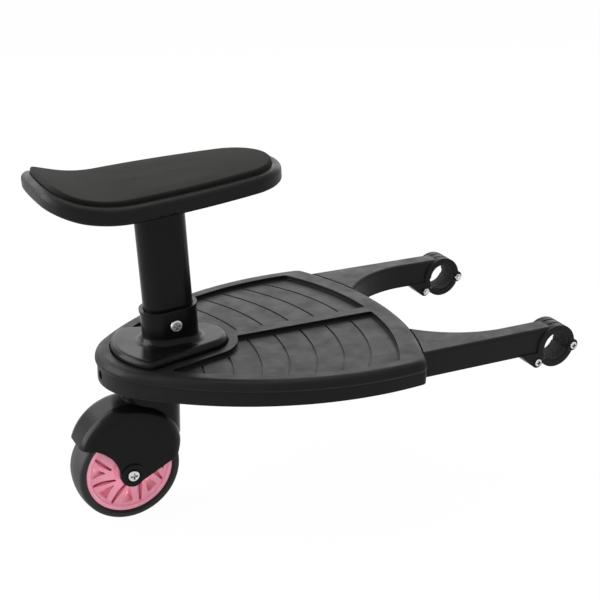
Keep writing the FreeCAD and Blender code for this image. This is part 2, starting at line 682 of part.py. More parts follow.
def below_split(name, lift, side):
    # everything under the split line, moved up by lift, over the clamp's whole width
    beyond = 2 * eye_radius
    left = hinge - split_way * beyond + split_up * lift
    right = lock + split_way * beyond + split_up * lift
    return profile(name, path(left, right, right - split_up * beyond, left - split_up * beyond),
                   "2 * {clamp_width}", CLAMP_Y % side)


def below_axis(name, width, side):
    # everything of a given width under the clamp axis: the way the tube takes out of the open clamp
    return block(name, width, "2 * {clamp_width}", "2 * {clamp_bore}", "0", CLAMP_Y % side,
                 "-2 * {clamp_bore}")


def ridged_eye(name, side):
    # the round clamp head with two grooves round it
    head = across(name + "Round", EYE, "{clamp_width}", "0", CLAMP_Y % side, "0")
    rings = [ring(name + "Ridge%d" % number, EYE + " + {ridge_groove_depth}",
                  EYE + " - 2 * {ridge_groove_depth}", "{ridge_groove}", "0",
                  (CLAMP_Y % side) + " + (%.1f) * {ridge_pitch} - {ridge_groove} / 2" % (number - 0.5),
                  "0", ALONG_Y) for number in range(2)]
    return cut(name, head, *rings)


def outer_zones(name, spot, side, diameter):
    # the two outer knuckle zones of a clamp bolt
    whole = across(name + "Whole", diameter, "{clamp_width}", spot[0], CLAMP_Y % side, spot[1])
    middle = across(name + "Middle", diameter, ZONE, spot[0], CLAMP_Y % side, spot[1])
    return cut(name, whole, middle)


def build_arm(label, side):
    tag = label.title()
    beam = slab(tag + "Beam", arm_plan(side, 0.0), ARM_BOTTOM, "{arm_depth}")
    top = sheet.deck_top - sheet.arm_step

    def long_edge(edge):
        middle = edge.valueAt((edge.FirstParameter + edge.LastParameter) / 2)
        reach = (at(middle.x, middle.y) - front_centre).Length
        at_root = abs(reach - sheet.front_radius) < 2 * sheet.deck_wall
        return flat_at(edge, top) and middle.x < -sheet.arm_round and not at_root
    beam = rounded(tag + "BeamRound", beam, sheet.arm_round, long_edge)
    channel = slab(tag + "Channel", arm_plan(side, -sheet.arm_solid, -sheet.arm_wall, 2 * sheet.arm_wall),
                   ARM_BOTTOM, "{arm_depth} - {arm_roof}")
    count = int((sheet.deck_front - sheet.arm_solid) / sheet.arm_rib_pitch)
    bars = [block(tag + "Web%d" % number, "{rib_wall}", "{arm_offset}", "{arm_depth}",
                  "-{arm_solid} - %d * {arm_rib_pitch}" % number, CLAMP_Y % side, ARM_BOTTOM)
            for number in range(1, count + 1)]
    beam = cut(tag + "Hollow", beam, cut(tag + "Bays", channel, *bars))
    tenon = block(tag + "Tenon", "{tenon_reach} - {tenon_front}", "{tenon_width}", "{tenon_depth}",
                  "-({tenon_reach} + {tenon_front}) / 2", CLAMP_Y % side, ARM_BOTTOM)
    head = cut(tag + "Head", ridged_eye(tag + "Eye", side),
               below_split(tag + "Under", sheet.jaw_gap / 2, side))
    ears = [outer_zones(tag + "Ear%d" % number, spot, side, KNUCKLE)
            for number, spot in enumerate((HINGE, LOCK))]
    lug_top = top - sheet.arm_depth + sheet.lug_sink
    lug_rear = at(hinge.x - sheet.lug_rear, lug_top)
    lug_front = at(hinge.x + sheet.lug_front, lug_top)
    lug_low = hinge - at(1, 1) * (sheet.knuckle_radius * math.sqrt(0.5))
    lug = profile(tag + "Lug", path(lug_rear, lug_low, hinge, lug_front), "{clamp_width}", CLAMP_Y % side)
    solid = join(tag + "Solid", beam, tenon, head, lug, *ears)
    bore = across(tag + "Bore", JAW_BORE, "2 * {clamp_width}", "0", CLAMP_Y % side, "0")
    rooms = [across(tag + "Room%d" % number, KNUCKLE_SPACE, ZONE, spot[0], CLAMP_Y % side, spot[1])
             for number, spot in enumerate((HINGE, LOCK))]
    way_out = below_axis(tag + "WayOut", "{clamp_bore} + 2 * {tube_exit}", side)
    holes = [across(tag + "PinHole%d" % number, "{pin_diameter} + 2 * {bond_gap}", "2 * {clamp_width}",
                    spot[0], CLAMP_Y % side, spot[1]) for number, spot in enumerate((HINGE, LOCK))]
    passes = [rod(tag + "ScrewPass%d" % number, "{screw_diameter} + 2 * {screw_hole_gap}", "{deck_depth}",
                  x, y, ARM_BOTTOM) for number, (x, y) in enumerate(screw_spots()) if y == CLAMP_Y % side]
    node("arm_" + label, cut(tag + "Arm", solid, bore, way_out, *rooms, *holes, *passes))


def build_jaw(label, side):
    tag = label.title() + "Jaw"
    under = below_split(tag + "Under", -sheet.jaw_gap / 2, side)
    half = common(tag + "Half", ridged_eye(tag + "Eye", side), under)
    rooms = [outer_zones(tag + "Room%d" % number, spot, side, KNUCKLE_SPACE)
             for number, spot in enumerate((HINGE, LOCK))]
    half = cut(tag + "Relieved", half, *rooms)
    knuckles = [across(tag + "Knuckle%d" % number, KNUCKLE, "{knuckle_width}", spot[0], CLAMP_Y % side,
                       spot[1]) for number, spot in enumerate((HINGE, LOCK))]
    bore = across(tag + "Bore", JAW_BORE, "2 * {clamp_width}", "0", CLAMP_Y % side, "0")
    pin = across(tag + "Pin", "{pin_diameter} + 2 * {pin_fit}", "2 * {clamp_width}", HINGE[0],
                 CLAMP_Y % side, HINGE[1])
    # the lock bolt leaves the jaw through a slot that is open upwards
    slot_half = sheet.pin_diameter / 2 + sheet.lock_clearance
    slot_top = lock + split_up * (2 * sheet.knuckle_radius)
    slot = profile(tag + "Slot", path(lock - split_way * slot_half,
                                      (lock - split_up * slot_half, lock + split_way * slot_half),
                                      slot_top + split_way * slot_half, slot_top - split_way * slot_half),
                   "2 * {clamp_width}", CLAMP_Y % side)
    node("clamp_jaw_" + label, cut(tag, join(tag + "Solid", half, *knuckles), bore, pin, slot))


def build_grip_pads(label, side):
    # rubber linings of the arm's half and the jaw's half of a clamp
    width = "{clamp_width} - 2 * {pad_inset}"
    y = (CLAMP_Y % side) + " - (" + width + ") / 2"
    linings = [ring(label.title() + part + "Lining", JAW_BORE + " - 2 * {bond_gap}", "{clamp_bore}", width,
                    "0", y, "0", ALONG_Y) for part in ("Upper", "Lower")]
    upper = cut(label.title() + "UpperPad", linings[0],
                below_axis(label.title() + "UpperCut", "2 * {clamp_bore}", side))
    node("grip_pad_upper_" + label, upper)
    under = below_split(label.title() + "LowerCut", -sheet.jaw_gap, side)
    node("grip_pad_lower_" + label, common(label.title() + "LowerPad", linings[1], under))


def build_clamp_bolts():
    for name, spot in (("hinge", HINGE), ("lock", LOCK)):
        bolts = []
        nuts = []
        for label, side in SIDES:
            outer = (CLAMP_Y % side) + " + %d * {clamp_width} / 2" % side
            inner = (CLAMP_Y % side) + " - %d * {clamp_width} / 2" % side
            inward = AGAINST_Y if side > 0 else ALONG_Y
            tag = name.title() + label.title()
            bolts.append(pan_screw(tag + "Bolt", "{pin_diameter}",
                                   "{clamp_width} + {pin_nut_depth} + {bolt_tail}", "{pin_head}",
                                   "{pin_head_depth}", spot[0], outer, spot[1], inward))
            nuts.append(hex_nut(tag + "Nut", "{pin_nut}", "{pin_diameter} + 2 * {bond_gap}",
                                "{pin_nut_depth}", spot[0], inner, spot[1], inward))
        node("clamp_%s_bolts" % name, group(name.title() + "Bolts", *bolts))
        node("clamp_%s_nuts" % name, group(name.title() + "Nuts", *nuts))


def build_arm_screws():
    screws = [pan_screw("ArmScrew%d" % number, "{screw_diameter}", "{tenon_depth} + {screw_grip}",
                        "{screw_head}", "{screw_head_depth}", x, y, ARM_BOTTOM, UPRIGHT)
              for number, (x, y) in enumerate(screw_spots())]
    node("arm_screws", group("ArmScrews", *screws))


# Seat base, post and seat, which lean back with the post

def lean(item):
    # moves a piece from the post's own frame to its place on the deck
    return place(item, "-{post_back}", "0", "{deck_top}", Rotation(Vector(0, 1, 0), -sheet.post_lean))


def obround(length, width):
    radius = width / 2
    run = length / 2 - radius
    return path(at(-run, radius), at(run, radius), (at(run + radius, 0), at(run, -radius)),
                at(-run, -radius), (at(-run - radius, 0), at(-run, radius)))


def post_outline(grow):
    return obround(sheet.post_length + 2 * grow, sheet.post_width + 2 * grow)


def cross_hole(name, clearance):
    return rod(name, "{cross_diameter} + 2 * {%s}" % clearance, "4 * {post_width}", "0",
               "-2 * {post_width}", "{cross_height}", ALONG_Y)


def build_seat_base():
    flange = slab("Flange", shield(0.0), RECESS, "{base_depth}")
    top = sheet.deck_top - sheet.recess_depth + sheet.base_depth
    flange = rounded("FlangeRound", flange, sheet.base_round, lambda edge: flat_at(edge, top))
    collar = lean(slab("Collar", post_outline(sheet.post_fit + sheet.collar_wall), "0", "{collar_top}"))
    bead = lean(slab("CollarBead", post_outline(sheet.post_fit + sheet.collar_wall + sheet.collar_bead),
                     "{collar_top} - {collar_bead_depth}", "{collar_bead_depth}"))
    solid = join("BaseSolid", flange, collar, bead)

    def foot_of_collar(edge):
        inside = all(abs(vertex.X + post_back) < sheet.post_length / 2 for vertex in edge.Vertexes)
        return flat_at(edge, top) and inside
    solid = rounded("BaseFillet", solid, sheet.collar_round, foot_of_collar)
    socket = lean(slab("PostSocket", post_outline(sheet.post_fit), "{post_seat}", "{collar_top}"))
    pocket = rod("NutPocket", "{nut_pocket}", KING_TOP + " + {nut_pocket_gap} - (" + RECESS + ")",
                 "-{swivel_back}", "0", RECESS)
    pilots = [rod("BasePilot%d" % number, "{screw_diameter} + 2 * {bond_gap}",
                  "{screw_grip} + {screw_hole_gap}", x, y, RECESS)
              for number, (x, y) in enumerate(base_spots())]
    bolt_hole = lean(group("BaseCrossPlace", cross_hole("BaseCross", "screw_hole_gap")))
    node("seat_base", cut("SeatBase", solid, socket, pocket, bolt_hole, *pilots))


def build_base_screws():
    screws = [pan_screw("BaseScrew%d" % number, "{screw_diameter}",
                        RECESS + " - (" + CEILING + ") + {screw_grip}", "{screw_head}",
                        "{screw_head_depth}", x, y, CEILING, UPRIGHT)
              for number, (x, y) in enumerate(base_spots())]
    node("seat_base_screws", group("BaseScrews", *screws))


SEAT_ROOF = "{seat_level} - {pan_recess} - {pan_wall}"
POST_TOP = SEAT_ROOF


def build_post():
    body = slab("PostBody", post_outline(0.0), "{post_seat} + {post_foot_gap}",
                POST_TOP + " - {post_seat} - {post_foot_gap}")
    core = slab("PostCore", post_outline(-sheet.post_wall), "{post_seat}",
                POST_TOP + " - {post_seat} - {post_head}")
    holes = [rod("PostPilot%d" % number, "{screw_diameter} + 2 * {bond_gap}", "{post_head}",
                 "%.1f * {seat_screw_pitch}" % (number - 0.5), "0", POST_TOP + " - {post_head}")
             for number in range(2)]
    node("seat_post", lean(cut("SeatPost", body, core, cross_hole("PostCross", "screw_hole_gap"), *holes)))


def build_cross_bolt():
    face = "{post_width} / 2 + {post_fit} + {collar_wall}"
    bolt = pan_screw("CrossBolt", "{cross_diameter}",
                     "2 * (" + face + ") + {cross_nut_depth} + {bolt_tail}", "{cross_head}",
                     "{cross_head_depth}", "0", "-(" + face + ")", "{cross_height}", ALONG_Y)
    node("post_bolt", lean(group("PostBolt", bolt)))
    nut = hex_nut("CrossNut", "{cross_nut}", "{cross_diameter} + 2 * {bond_gap}", "{cross_nut_depth}", "0",
                  face, "{cross_height}", ALONG_Y)
    node("post_nut", lean(group("PostNut", nut)))


def seat_outline(inset):
    # drawn with its nose at the rear, then turned round by seat_slab
    return egg(-sheet.seat_nose, sheet.seat_nose_radius, sheet.seat_widest, sheet.seat_width / 2,
               sheet.seat_rear, sheet.seat_rear_radius, sheet.seat_corner - inset, inset)


def seat_slab(name, inset, bottom, height):
    outline = place(trace(name + "Outline", [seat_outline(inset)]), z=bottom,
                    turn=Rotation(Vector(0, 0, 1), 180))
    return extrude(name, outline, height)


def seat_line(level):
    # the seat's side line at a level: straight from the front, then turned up towards the rear.
    # lines at other levels run parallel to the one at the pan's top
    run = sheet.seat_rear + sheet.pan_border - sheet.kick_start
    bow = (run ** 2 + sheet.kick_rise ** 2) / (2 * sheet.kick_rise)
    turn = math.asin(run / bow)
    centre = at(-sheet.kick_start, sheet.seat_level + bow)
    radius = centre.y - level
    front = at(sheet.seat_nose + 2 * sheet.pan_border, level)
    bend = centre - at(0, radius)
    middle = centre - at(math.sin(turn / 2), math.cos(turn / 2)) * radius
    end = centre - at(math.sin(turn), math.cos(turn)) * radius
    beyond = end + at(-math.cos(turn), math.sin(turn)) * (4 * sheet.pan_border)
    return front, bend, middle, end, beyond


def seat_layer(name, low, high, crown=0.0):
    # a layer of the seat between two levels: its cross section carried along the seat's side line
    front, bend, middle, end, beyond = seat_line(low)
    spine = trace(name + "Line", [[Part.LineSegment(front, bend), Part.Arc(bend, middle, end),
                                   Part.LineSegment(end, beyond)]])
    place(spine, turn=SIDE)
    half = sheet.seat_width
    rise = high - low
    if crown:
        top = (at(0, rise + crown), at(-half / 2 - sheet.pan_border, rise))
    else:
        top = at(-half / 2 - sheet.pan_border, rise)
    outer = half / 2 + sheet.pan_border
    outline = trace(name + "Section", [path(at(-outer, 0), at(outer, 0), at(outer, rise), top)])
    outline.Placement = Placement(Vector(front.x, 0, low), FRONT)
    layer = doc.addObject("Part::Sweep", name)
    layer.Sections = [outline]
    layer.Spine = (spine, ["Edge1", "Edge2", "Edge3"])
    layer.Solid = True
    layer.Frenet = False
    return layer


def build_seat_pan():
    level = sheet.seat_level
    floor = level - sheet.pan_recess
    height = "2 * {pan_depth} + 2 * {kick_rise}"
    bottom = "{seat_level} - 2 * {pan_depth}"
    outer = common("PanBlock", seat_slab("PanOutline", -sheet.pan_border, bottom, height),
                   seat_layer("PanLayer", level - sheet.pan_depth, level))
    body = rounded("PanTop", outer, sheet.pan_round, rim_of(outer, 1))
    body = rounded("PanUnder", body, sheet.pan_under_round, rim_of(body, -1))
    inner = common("PanHollow", seat_slab("PanInside", sheet.pan_wall - sheet.pan_border, bottom, height),
                   seat_layer("PanSpace", level - 2 * sheet.pan_depth, floor - sheet.pan_wall))
    well = common("PanWell", seat_slab("PanWellOutline", -sheet.cushion_gap, bottom, height),
                  seat_layer("PanWellLayer", floor, floor + sheet.pan_depth))
    sleeve = slab("PanSleeve", post_outline(sheet.post_fit + sheet.pan_wall), "{seat_level} - {pan_depth}",
                  "{pan_depth} - {pan_recess}")
    depth = "{pan_depth} - {pan_recess} - 2 * {pan_wall}"
    ribs = [block("PanRib%d" % number, "2 * {seat_nose} + 2 * {pan_border}", "{rib_wall}", depth, "0",
                  "%d * {pan_rib_offset}" % number, SEAT_ROOF + " - (" + depth + ")") for number in (-1, 1)]
    ribs.append(block("PanCross", "{rib_wall}", "{seat_width}", depth, "{pan_cross_ahead}", "0",
                      SEAT_ROOF + " - (" + depth + ")"))
    frame = common("PanFrame", join("PanRibs", *ribs), outer)
    shell = join("PanSolid", cut("PanShell", body, inner, well), sleeve, frame)
    socket = slab("PanSocket", post_outline(sheet.post_fit), bottom, POST_TOP + " - (" + bottom + ")")
    holes = [rod("PanHole%d" % number, "{screw_diameter} + 2 * {screw_hole_gap}", "2 * {pan_depth}", x,
                 "0", bottom) for number, x in enumerate(seat_spots())]
    sinks = [turned_sink("PanSink%d" % number, x, "screw_hole_gap")
             for number, x in enumerate(seat_spots())]
    node("seat_pan", lean(cut("SeatPan", shell, socket, *holes, *sinks)))


def seat_spots():
    return ["%.1f * {seat_screw_pitch}" % half for half in (-0.5, 0.5)]


def turned_sink(name, x, clearance):
    # the flared head of a flat-headed screw, level with the floor of the pan's recess
    item = doc.addObject("Part::Cone", name)
    bind(item, "Radius1", "{screw_diameter} / 2 + {%s}" % clearance)
    bind(item, "Radius2", "{screw_head} / 2 + {%s}" % clearance)
    bind(item, "Height", "{pan_wall}")
    return place(item, x, "0", SEAT_ROOF)


def build_seat_screws():
    screws = []
    for number, x in enumerate(seat_spots()):
        shank = rod("SeatShank%d" % number, "{screw_diameter}", "{post_head}", x, "0",
                    POST_TOP + " - {post_head}")
        screws.append(join("SeatScrew%d" % number, shank,
                           turned_sink("SeatHead%d" % number, x, "bond_gap")))
    node("seat_screws", lean(group("SeatScrews", *screws)))


def build_seat_pad():
    low = sheet.seat_level - sheet.pan_recess + sheet.cushion_gap
    body = common("PadBlock", seat_slab("PadOutline", 0.0, "{seat_level} - {pan_depth}",
                                        "2 * {pan_depth} + 2 * {kick_rise}"),
                  seat_layer("PadLayer", low, low + sheet.cushion_depth, sheet.cushion_crown))
    body = rounded("PadTop", body, sheet.cushion_round, rim_of(body, 1))
    body = rounded("PadFoot", body, sheet.cushion_foot, rim_of(body, -1))
    node("seat_pad", lean(body))


# Caster: swivel, fork and wheel

axle = at(-wheel_back, -sheet.wheel_drop)
AXLE = ("-{wheel_back}", "-{wheel_drop}")
SWIVEL_X = "-{swivel_back}"
THRUST = DECK_BOTTOM + " - {bush_flange_depth}"
NECK_TOP = THRUST + " - {swivel_gap}"
WASHER_Z = RECESS + " + {bush_flange_depth} + {king_fit}"
KING_NUT_Z = WASHER_Z + " + {king_washer}"
KING_TOP = KING_NUT_Z + " + {king_nut_depth} + {king_tail}"
CHEEK_INNER = "{tyre_width} / 2 + {fork_side_gap}"
CHEEK_OUTER = CHEEK_INNER + " + {fork_cheek}"
hood_radius = sheet.tyre_diameter / 2 + sheet.hood_gap + sheet.hood_wall


def polar(radius, angle):
    turn = math.radians(angle)
    return at(radius * math.cos(turn), radius * math.sin(turn))


def hood_drum():
    # a drum with rounded edges on the circle through the hood's two lips and its crest
    aim = (sheet.hood_tip + sheet.hood_front) / 2
    span = math.radians(sheet.hood_tip - sheet.hood_front) / 2
    rise = hood_radius + sheet.hood_crown - hood_radius * math.cos(span)
    radius = ((hood_radius * math.sin(span)) ** 2 + rise ** 2) / (2 * rise)
    centre = axle + polar(hood_radius + sheet.hood_crown - radius, aim)
    half = sheet.tyre_width / 2 + sheet.fork_side_gap + sheet.fork_cheek
    soft = sheet.hood_round
    bend = at(radius - soft, half - soft)
    side = bend + at(0, soft)
    turn = bend + polar(soft, 45)
    rim = bend + at(soft, 0)
    section = path(at(0, -half), mirrored(side), (mirrored(turn), mirrored(rim)),
                   rim, (turn, side), at(0, half))
    return place(turned("HoodDrum", section, "y"), "%f" % centre.x, "0", "%f" % centre.y)


def build_fork():
    boss = sheet.axle_boss / 2
    tip = axle + polar(hood_radius, sheet.hood_tip)
    front = axle + polar(hood_radius, sheet.hood_front)
    low = axle + polar(boss, sheet.boss_front)
    rear = axle + polar(boss, sheet.boss_rear)
    under = axle + polar(boss, (sheet.boss_front + sheet.boss_rear) / 2 - 180)
    lip = tip + at(sheet.lip_length, -sheet.lip_drop)
    chord = lip - rear
    sag = sheet.cheek_window - math.sqrt(sheet.cheek_window ** 2 - (chord.Length / 2) ** 2)
    window = (rear + lip) * 0.5 + unit(at(chord.y, -chord.x)) * sag
    knee = axle + polar(sheet.knee_reach, sheet.knee_angle)
    above = polar(hood_radius, (sheet.hood_tip + sheet.hood_front) / 2)
    cheek = path(tip, tip + above, front + above, front, knee, low, (under, rear), (window, lip))
    sides = profile("Cheeks", cheek, "2 * (" + CHEEK_OUTER + ")")
    hood = common("Hood", hood_drum(), sides)
    half = sheet.neck_width / 2
    ahead = -swivel_back
    back = ahead - sheet.neck_reach
    plan = path(at(back, half), at(ahead, half), (at(ahead + half, 0), at(ahead, -half)), at(back, -half),
                (at(back - half, 0), at(back, half)))
    neck = slab("Neck", plan, "%f" % front.y, NECK_TOP + " - (%f)" % front.y)
    rings = [rod("AxleRing%d" % number, "{axle_ring}", "{axle_ring_depth} + {fork_cheek}", AXLE[0],
                 "%d * (" % side + CHEEK_INNER + ")", AXLE[1], ALONG_Y if side > 0 else AGAINST_Y)
             for number, (_, side) in enumerate(SIDES)]
    cavity = across("WheelSpace", "{tyre_diameter} + 2 * {hood_gap}", "2 * (" + CHEEK_INNER + ")", AXLE[0],
                    "0", AXLE[1])
    cavity = rounded("WheelSpaceRound", cavity, sheet.hood_inner_round, lambda edge: edge.isClosed())
    hole = across("AxleHole", "{axle_diameter} + 2 * {bond_gap}", "4 * {tyre_width}", AXLE[0], "0", AXLE[1])
    sinks = [rod("AxleSink%d" % number, "{axle_sink}", "{axle_ring_depth}", AXLE[0],
                 "%d * (" % side + CHEEK_OUTER + ")", AXLE[1], ALONG_Y if side > 0 else AGAINST_Y)
             for number, (_, side) in enumerate(SIDES)]
    king = rod("KingHole", "{king_diameter} + 2 * {bond_gap}", "{king_root}", SWIVEL_X, "0",
               NECK_TOP + " - {king_root}")
    node("caster_fork", cut("Fork", join("ForkSolid", hood, neck, *rings), cavity, hole, king, *sinks))


def build_swivel():
    root = NECK_TOP + " - {king_root}"
    node("swivel_pin", rod("KingPin", "{king_diameter}", KING_TOP + " - (" + root + ")", SWIVEL_X, "0",
                           root))
    bore = "{king_diameter} + 2 * {king_fit}"
    lower = join("LowerBushSolid", rod("LowerFlange", "{bush_flange}", "{bush_flange_depth}", SWIVEL_X,
                                       "0", THRUST),
                 rod("LowerSleeve", "{bush_diameter}", "{bush_length}", SWIVEL_X, "0", DECK_BOTTOM))
    node("swivel_bush_lower", cut("LowerBush", lower,
                                  rod("LowerBore", bore, "{deck_depth}", SWIVEL_X, "0", THRUST)))
    upper = join("UpperBushSolid", rod("UpperFlange", "{bush_flange}", "{bush_flange_depth}", SWIVEL_X,
                                       "0", RECESS),
                 rod("UpperSleeve", "{bush_diameter}", "{bush_length}", SWIVEL_X, "0",
                     RECESS + " - {bush_length}"))
    node("swivel_bush_upper", cut("UpperBush", upper, rod("UpperBore", bore, "{deck_depth}", SWIVEL_X, "0",
                                                          RECESS + " - {bush_length}")))
    held = "{king_diameter} + 2 * {bond_gap}"
    node("swivel_washer", ring("KingWasher", "{washer_diameter}", held, "{king_washer}", SWIVEL_X, "0",
                               WASHER_Z))
    node("swivel_nut", hex_nut("KingNut", "{king_nut}", held, "{king_nut_depth}", SWIVEL_X, "0",
                               KING_NUT_Z, UPRIGHT))


def at_axle(item):
    return place(item, AXLE[0], "0", AXLE[1])


def build_tyre():
    inner = sheet.hub_diameter / 2 + sheet.bond_gap
    outer = sheet.tyre_diameter / 2
    half = sheet.tyre_width / 2
    hub_half = sheet.hub_width / 2
    soft = sheet.tyre_shoulder
    drop = sheet.tyre_crown
    bow = soft * (1 - math.sqrt(0.5))
    edge = outer - drop
    outline = path(at(inner, -hub_half), at(inner + drop, -half), at(edge - soft, -half),
                   (at(edge - bow, -half + bow), at(edge, -half + soft)),
                   (at(outer, 0), at(edge, half - soft)),
                   (at(edge - bow, half - bow), at(edge - soft, half)), at(inner + drop, half),
                   at(inner, hub_half))
    node("tyre", at_axle(turned("Tyre", outline, "y")))


def hub_channels(curve, count):
    # straight slanting channels in both faces of the hub, with floors that follow the faces
    bars = []
    for number in range(count):
        aim = sheet.swirl_first + number * 360.0 / count
        outer = polar(sheet.swirl_outer, aim)
        inner = polar(sheet.swirl_inner, aim + sheet.swirl_sweep)
        along = unit(inner - outer)
        aside = at(-along.y, along.x) * (sheet.swirl_width / 2)
        bars.append(profile("Channel%d" % number, path(outer + aside, inner + aside, inner - aside,
                                                       outer - aside), "2 * {hub_width}"))
    start, middle, end = [point - at(0, sheet.swirl_depth) for point in curve]
    beyond = at(0, sheet.hub_width)
    outside = path(start, (middle, end), end + beyond, start + beyond)
    inside = path(mirrored(start), (mirrored(middle), mirrored(end)), mirrored(end) - beyond,
                  mirrored(start) - beyond)
    spaces = join("ChannelSpace", turned("ChannelLeft", outside, "y"), turned("ChannelRight", inside, "y"))
    return common("Channels", join("ChannelBars", *bars), spaces)


def hub_holes(far, near, count):
    # three-cornered holes through the web, slanted like the channels
    holes = []
    for number in range(count):
        aim = sheet.spoke_first + number * 360.0 / count
        start = polar(far, aim - sheet.spoke_half)
        end = polar(far, aim + sheet.spoke_half)
        tip = polar(near, aim + sheet.spoke_sweep)
        holes.append(profile("SpokeHole%d" % number, path(start, (polar(far, aim), end), tip),
                             "2 * {hub_width}"))
    return holes


def build_hub():
    outer = sheet.hub_diameter / 2
    half = sheet.hub_width / 2
    web = sheet.hub_web / 2
    boss = sheet.hub_boss / 2
    boss_half = sheet.hub_boss_width / 2
    bore = sheet.bearing_diameter / 2 + sheet.bond_gap
    sleeve = sheet.bearing_diameter / 2 - sheet.bearing_shoulder
    draft = sheet.hub_draft
    step = sheet.hub_step
    seat = boss_half - sheet.bearing_width
    lip = outer - sheet.hub_lip
    side = [at(bore, boss_half), at(boss - draft, boss_half), at(boss + draft, web + step)]
    rise = [at(lip - draft, half - step), at(lip, half), at(outer, half)]
    low = at((lip + boss) / 2, web)
    outline = path(at(sleeve, seat), at(bore, seat), *side, (low, rise[0]), *rise[1:],
                   *[mirrored(point) for point in reversed(rise[1:])], mirrored(rise[0]),
                   (mirrored(low), mirrored(side[2])), mirrored(side[1]), mirrored(side[0]),
                   at(bore, -seat), at(sleeve, -seat))
    wheel = turned("HubTurned", outline, "y")
    count = int(sheet.spoke_holes)
    channels = hub_channels((side[2], low, rise[0]), count)
    holes = hub_holes(lip - sheet.spoke_rim, boss + sheet.spoke_root, count)
    node("wheel_hub", at_axle(cut("Hub", wheel, channels, *holes)))


def build_wheel_inside():
    bore = "{axle_diameter} + 2 * {axle_fit}"
    bearings = []
    for number, (_, side) in enumerate(SIDES):
        y = "%d * ({hub_boss_width} - {bearing_width}) / 2 - {bearing_width} / 2" % side
        bearings.append(ring("Bearing%d" % number, "{bearing_diameter}", bore, "{bearing_width}", AXLE[0],
                             y, AXLE[1], ALONG_Y))
    node("wheel_bearings", group("Bearings", *bearings))
    held = "{axle_diameter} + 2 * {bond_gap}"
    tube = "{axle_diameter} + 2 * {spacer_wall}"
    gap = "2 * {axle_fit}"
    inner = "{hub_boss_width} - 2 * {bearing_width} - 2 * " + gap
    node("axle_sleeve", ring("AxleSleeve", tube, held, inner, AXLE[0], "-(" + inner + ") / 2", AXLE[1],
                             ALONG_Y))
    thick = CHEEK_INNER + " - {hub_boss_width} / 2 - " + gap
    spacers = []
    for number, (_, side) in enumerate(SIDES):
        y = "%d * (" % side + CHEEK_INNER + ")"
        spacers.append(ring("Spacer%d" % number, tube, held, thick, AXLE[0], y, AXLE[1],
                            AGAINST_Y if side > 0 else ALONG_Y))
    node("axle_spacers", group("AxleSpacers", *spacers))
    grip = "2 * (" + CHEEK_OUTER + ")"
    node("axle_bolt", pan_screw("AxleBolt", "{axle_diameter}", grip + " + {axle_nut_depth} + {bolt_tail}",
                                "{axle_head}", "{axle_head_depth}", AXLE[0], "-(" + CHEEK_OUTER + ")",
                                AXLE[1], ALONG_Y))
    node("axle_nut", hex_nut("AxleNut", "{axle_nut}", held, "{axle_nut_depth}", AXLE[0], CHEEK_OUTER,
                             AXLE[1], ALONG_Y))


build_deck()
for arm_name, arm_side in SIDES:
    build_arm(arm_name, arm_side)
    build_jaw(arm_name, arm_side)
    build_grip_pads(arm_name, arm_side)
build_clamp_bolts()
build_arm_screws()
build_seat_base()
build_base_screws()
build_post()
build_cross_bolt()
build_seat_pan()
build_seat_screws()
build_seat_pad()
build_fork()
build_swivel()
build_tyre()
build_hub()
build_wheel_inside()
doc.recompute()

for item in doc.Objects:
    if "Invalid" in item.State or "Error" in item.State:
        raise RuntimeError("%s did not build: %s" % (item.Label, item.State))
for item in nodes:
    if item.Shape.isNull() or not item.Shape.isValid():
        raise RuntimeError("%s has no valid shape" % item.Label)
os.makedirs("parts", exist_ok=True)
for item in nodes:
    item.Shape.exportStep("parts/%s.step" % item.Label)
    print("%-22s %3d solids %10.1f mm3" % (item.Label, len(item.Shape.Solids), item.Shape.Volume))
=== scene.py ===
import json
import math
import bpy
import numpy as np
from mathutils import Matrix, Vector


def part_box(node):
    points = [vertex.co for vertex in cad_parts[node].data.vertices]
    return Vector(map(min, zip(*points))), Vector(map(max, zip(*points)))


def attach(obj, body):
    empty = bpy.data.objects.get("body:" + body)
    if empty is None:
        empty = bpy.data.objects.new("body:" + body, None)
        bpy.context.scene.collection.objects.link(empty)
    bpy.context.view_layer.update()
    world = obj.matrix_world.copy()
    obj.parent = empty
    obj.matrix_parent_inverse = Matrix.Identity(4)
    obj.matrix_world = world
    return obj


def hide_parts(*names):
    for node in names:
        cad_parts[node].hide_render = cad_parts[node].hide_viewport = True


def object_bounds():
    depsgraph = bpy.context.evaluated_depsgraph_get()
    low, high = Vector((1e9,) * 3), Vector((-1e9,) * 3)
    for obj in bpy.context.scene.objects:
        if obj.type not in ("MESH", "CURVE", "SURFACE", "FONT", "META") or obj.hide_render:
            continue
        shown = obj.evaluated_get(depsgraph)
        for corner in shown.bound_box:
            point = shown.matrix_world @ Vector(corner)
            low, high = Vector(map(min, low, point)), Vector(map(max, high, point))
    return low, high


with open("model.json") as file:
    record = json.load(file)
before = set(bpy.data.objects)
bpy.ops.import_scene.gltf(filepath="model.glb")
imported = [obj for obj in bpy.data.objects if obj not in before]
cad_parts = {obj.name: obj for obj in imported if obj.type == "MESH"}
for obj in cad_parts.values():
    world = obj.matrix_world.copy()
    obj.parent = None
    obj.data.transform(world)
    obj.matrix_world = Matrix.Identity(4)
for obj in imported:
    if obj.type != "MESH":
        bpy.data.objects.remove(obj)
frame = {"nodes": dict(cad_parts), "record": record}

# Buggy board with a seat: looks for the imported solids, in metres, +X to the pushchair, +Z up
cadLow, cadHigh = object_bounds()
nodes = frame["nodes"]
print("frame loaded:", len(nodes), "nodes")


# Shader helpers

fullTurn = 2 * math.pi
noiseSpan = (0.3, 0.7)  # most values of a noise lie between these
# the painted edge highlight is read from the cosine between the softened normal and the face's own
edgeTrace = {"samples": 6, "fullHighlightAt": 0.80, "noHighlightAt": 0.985}


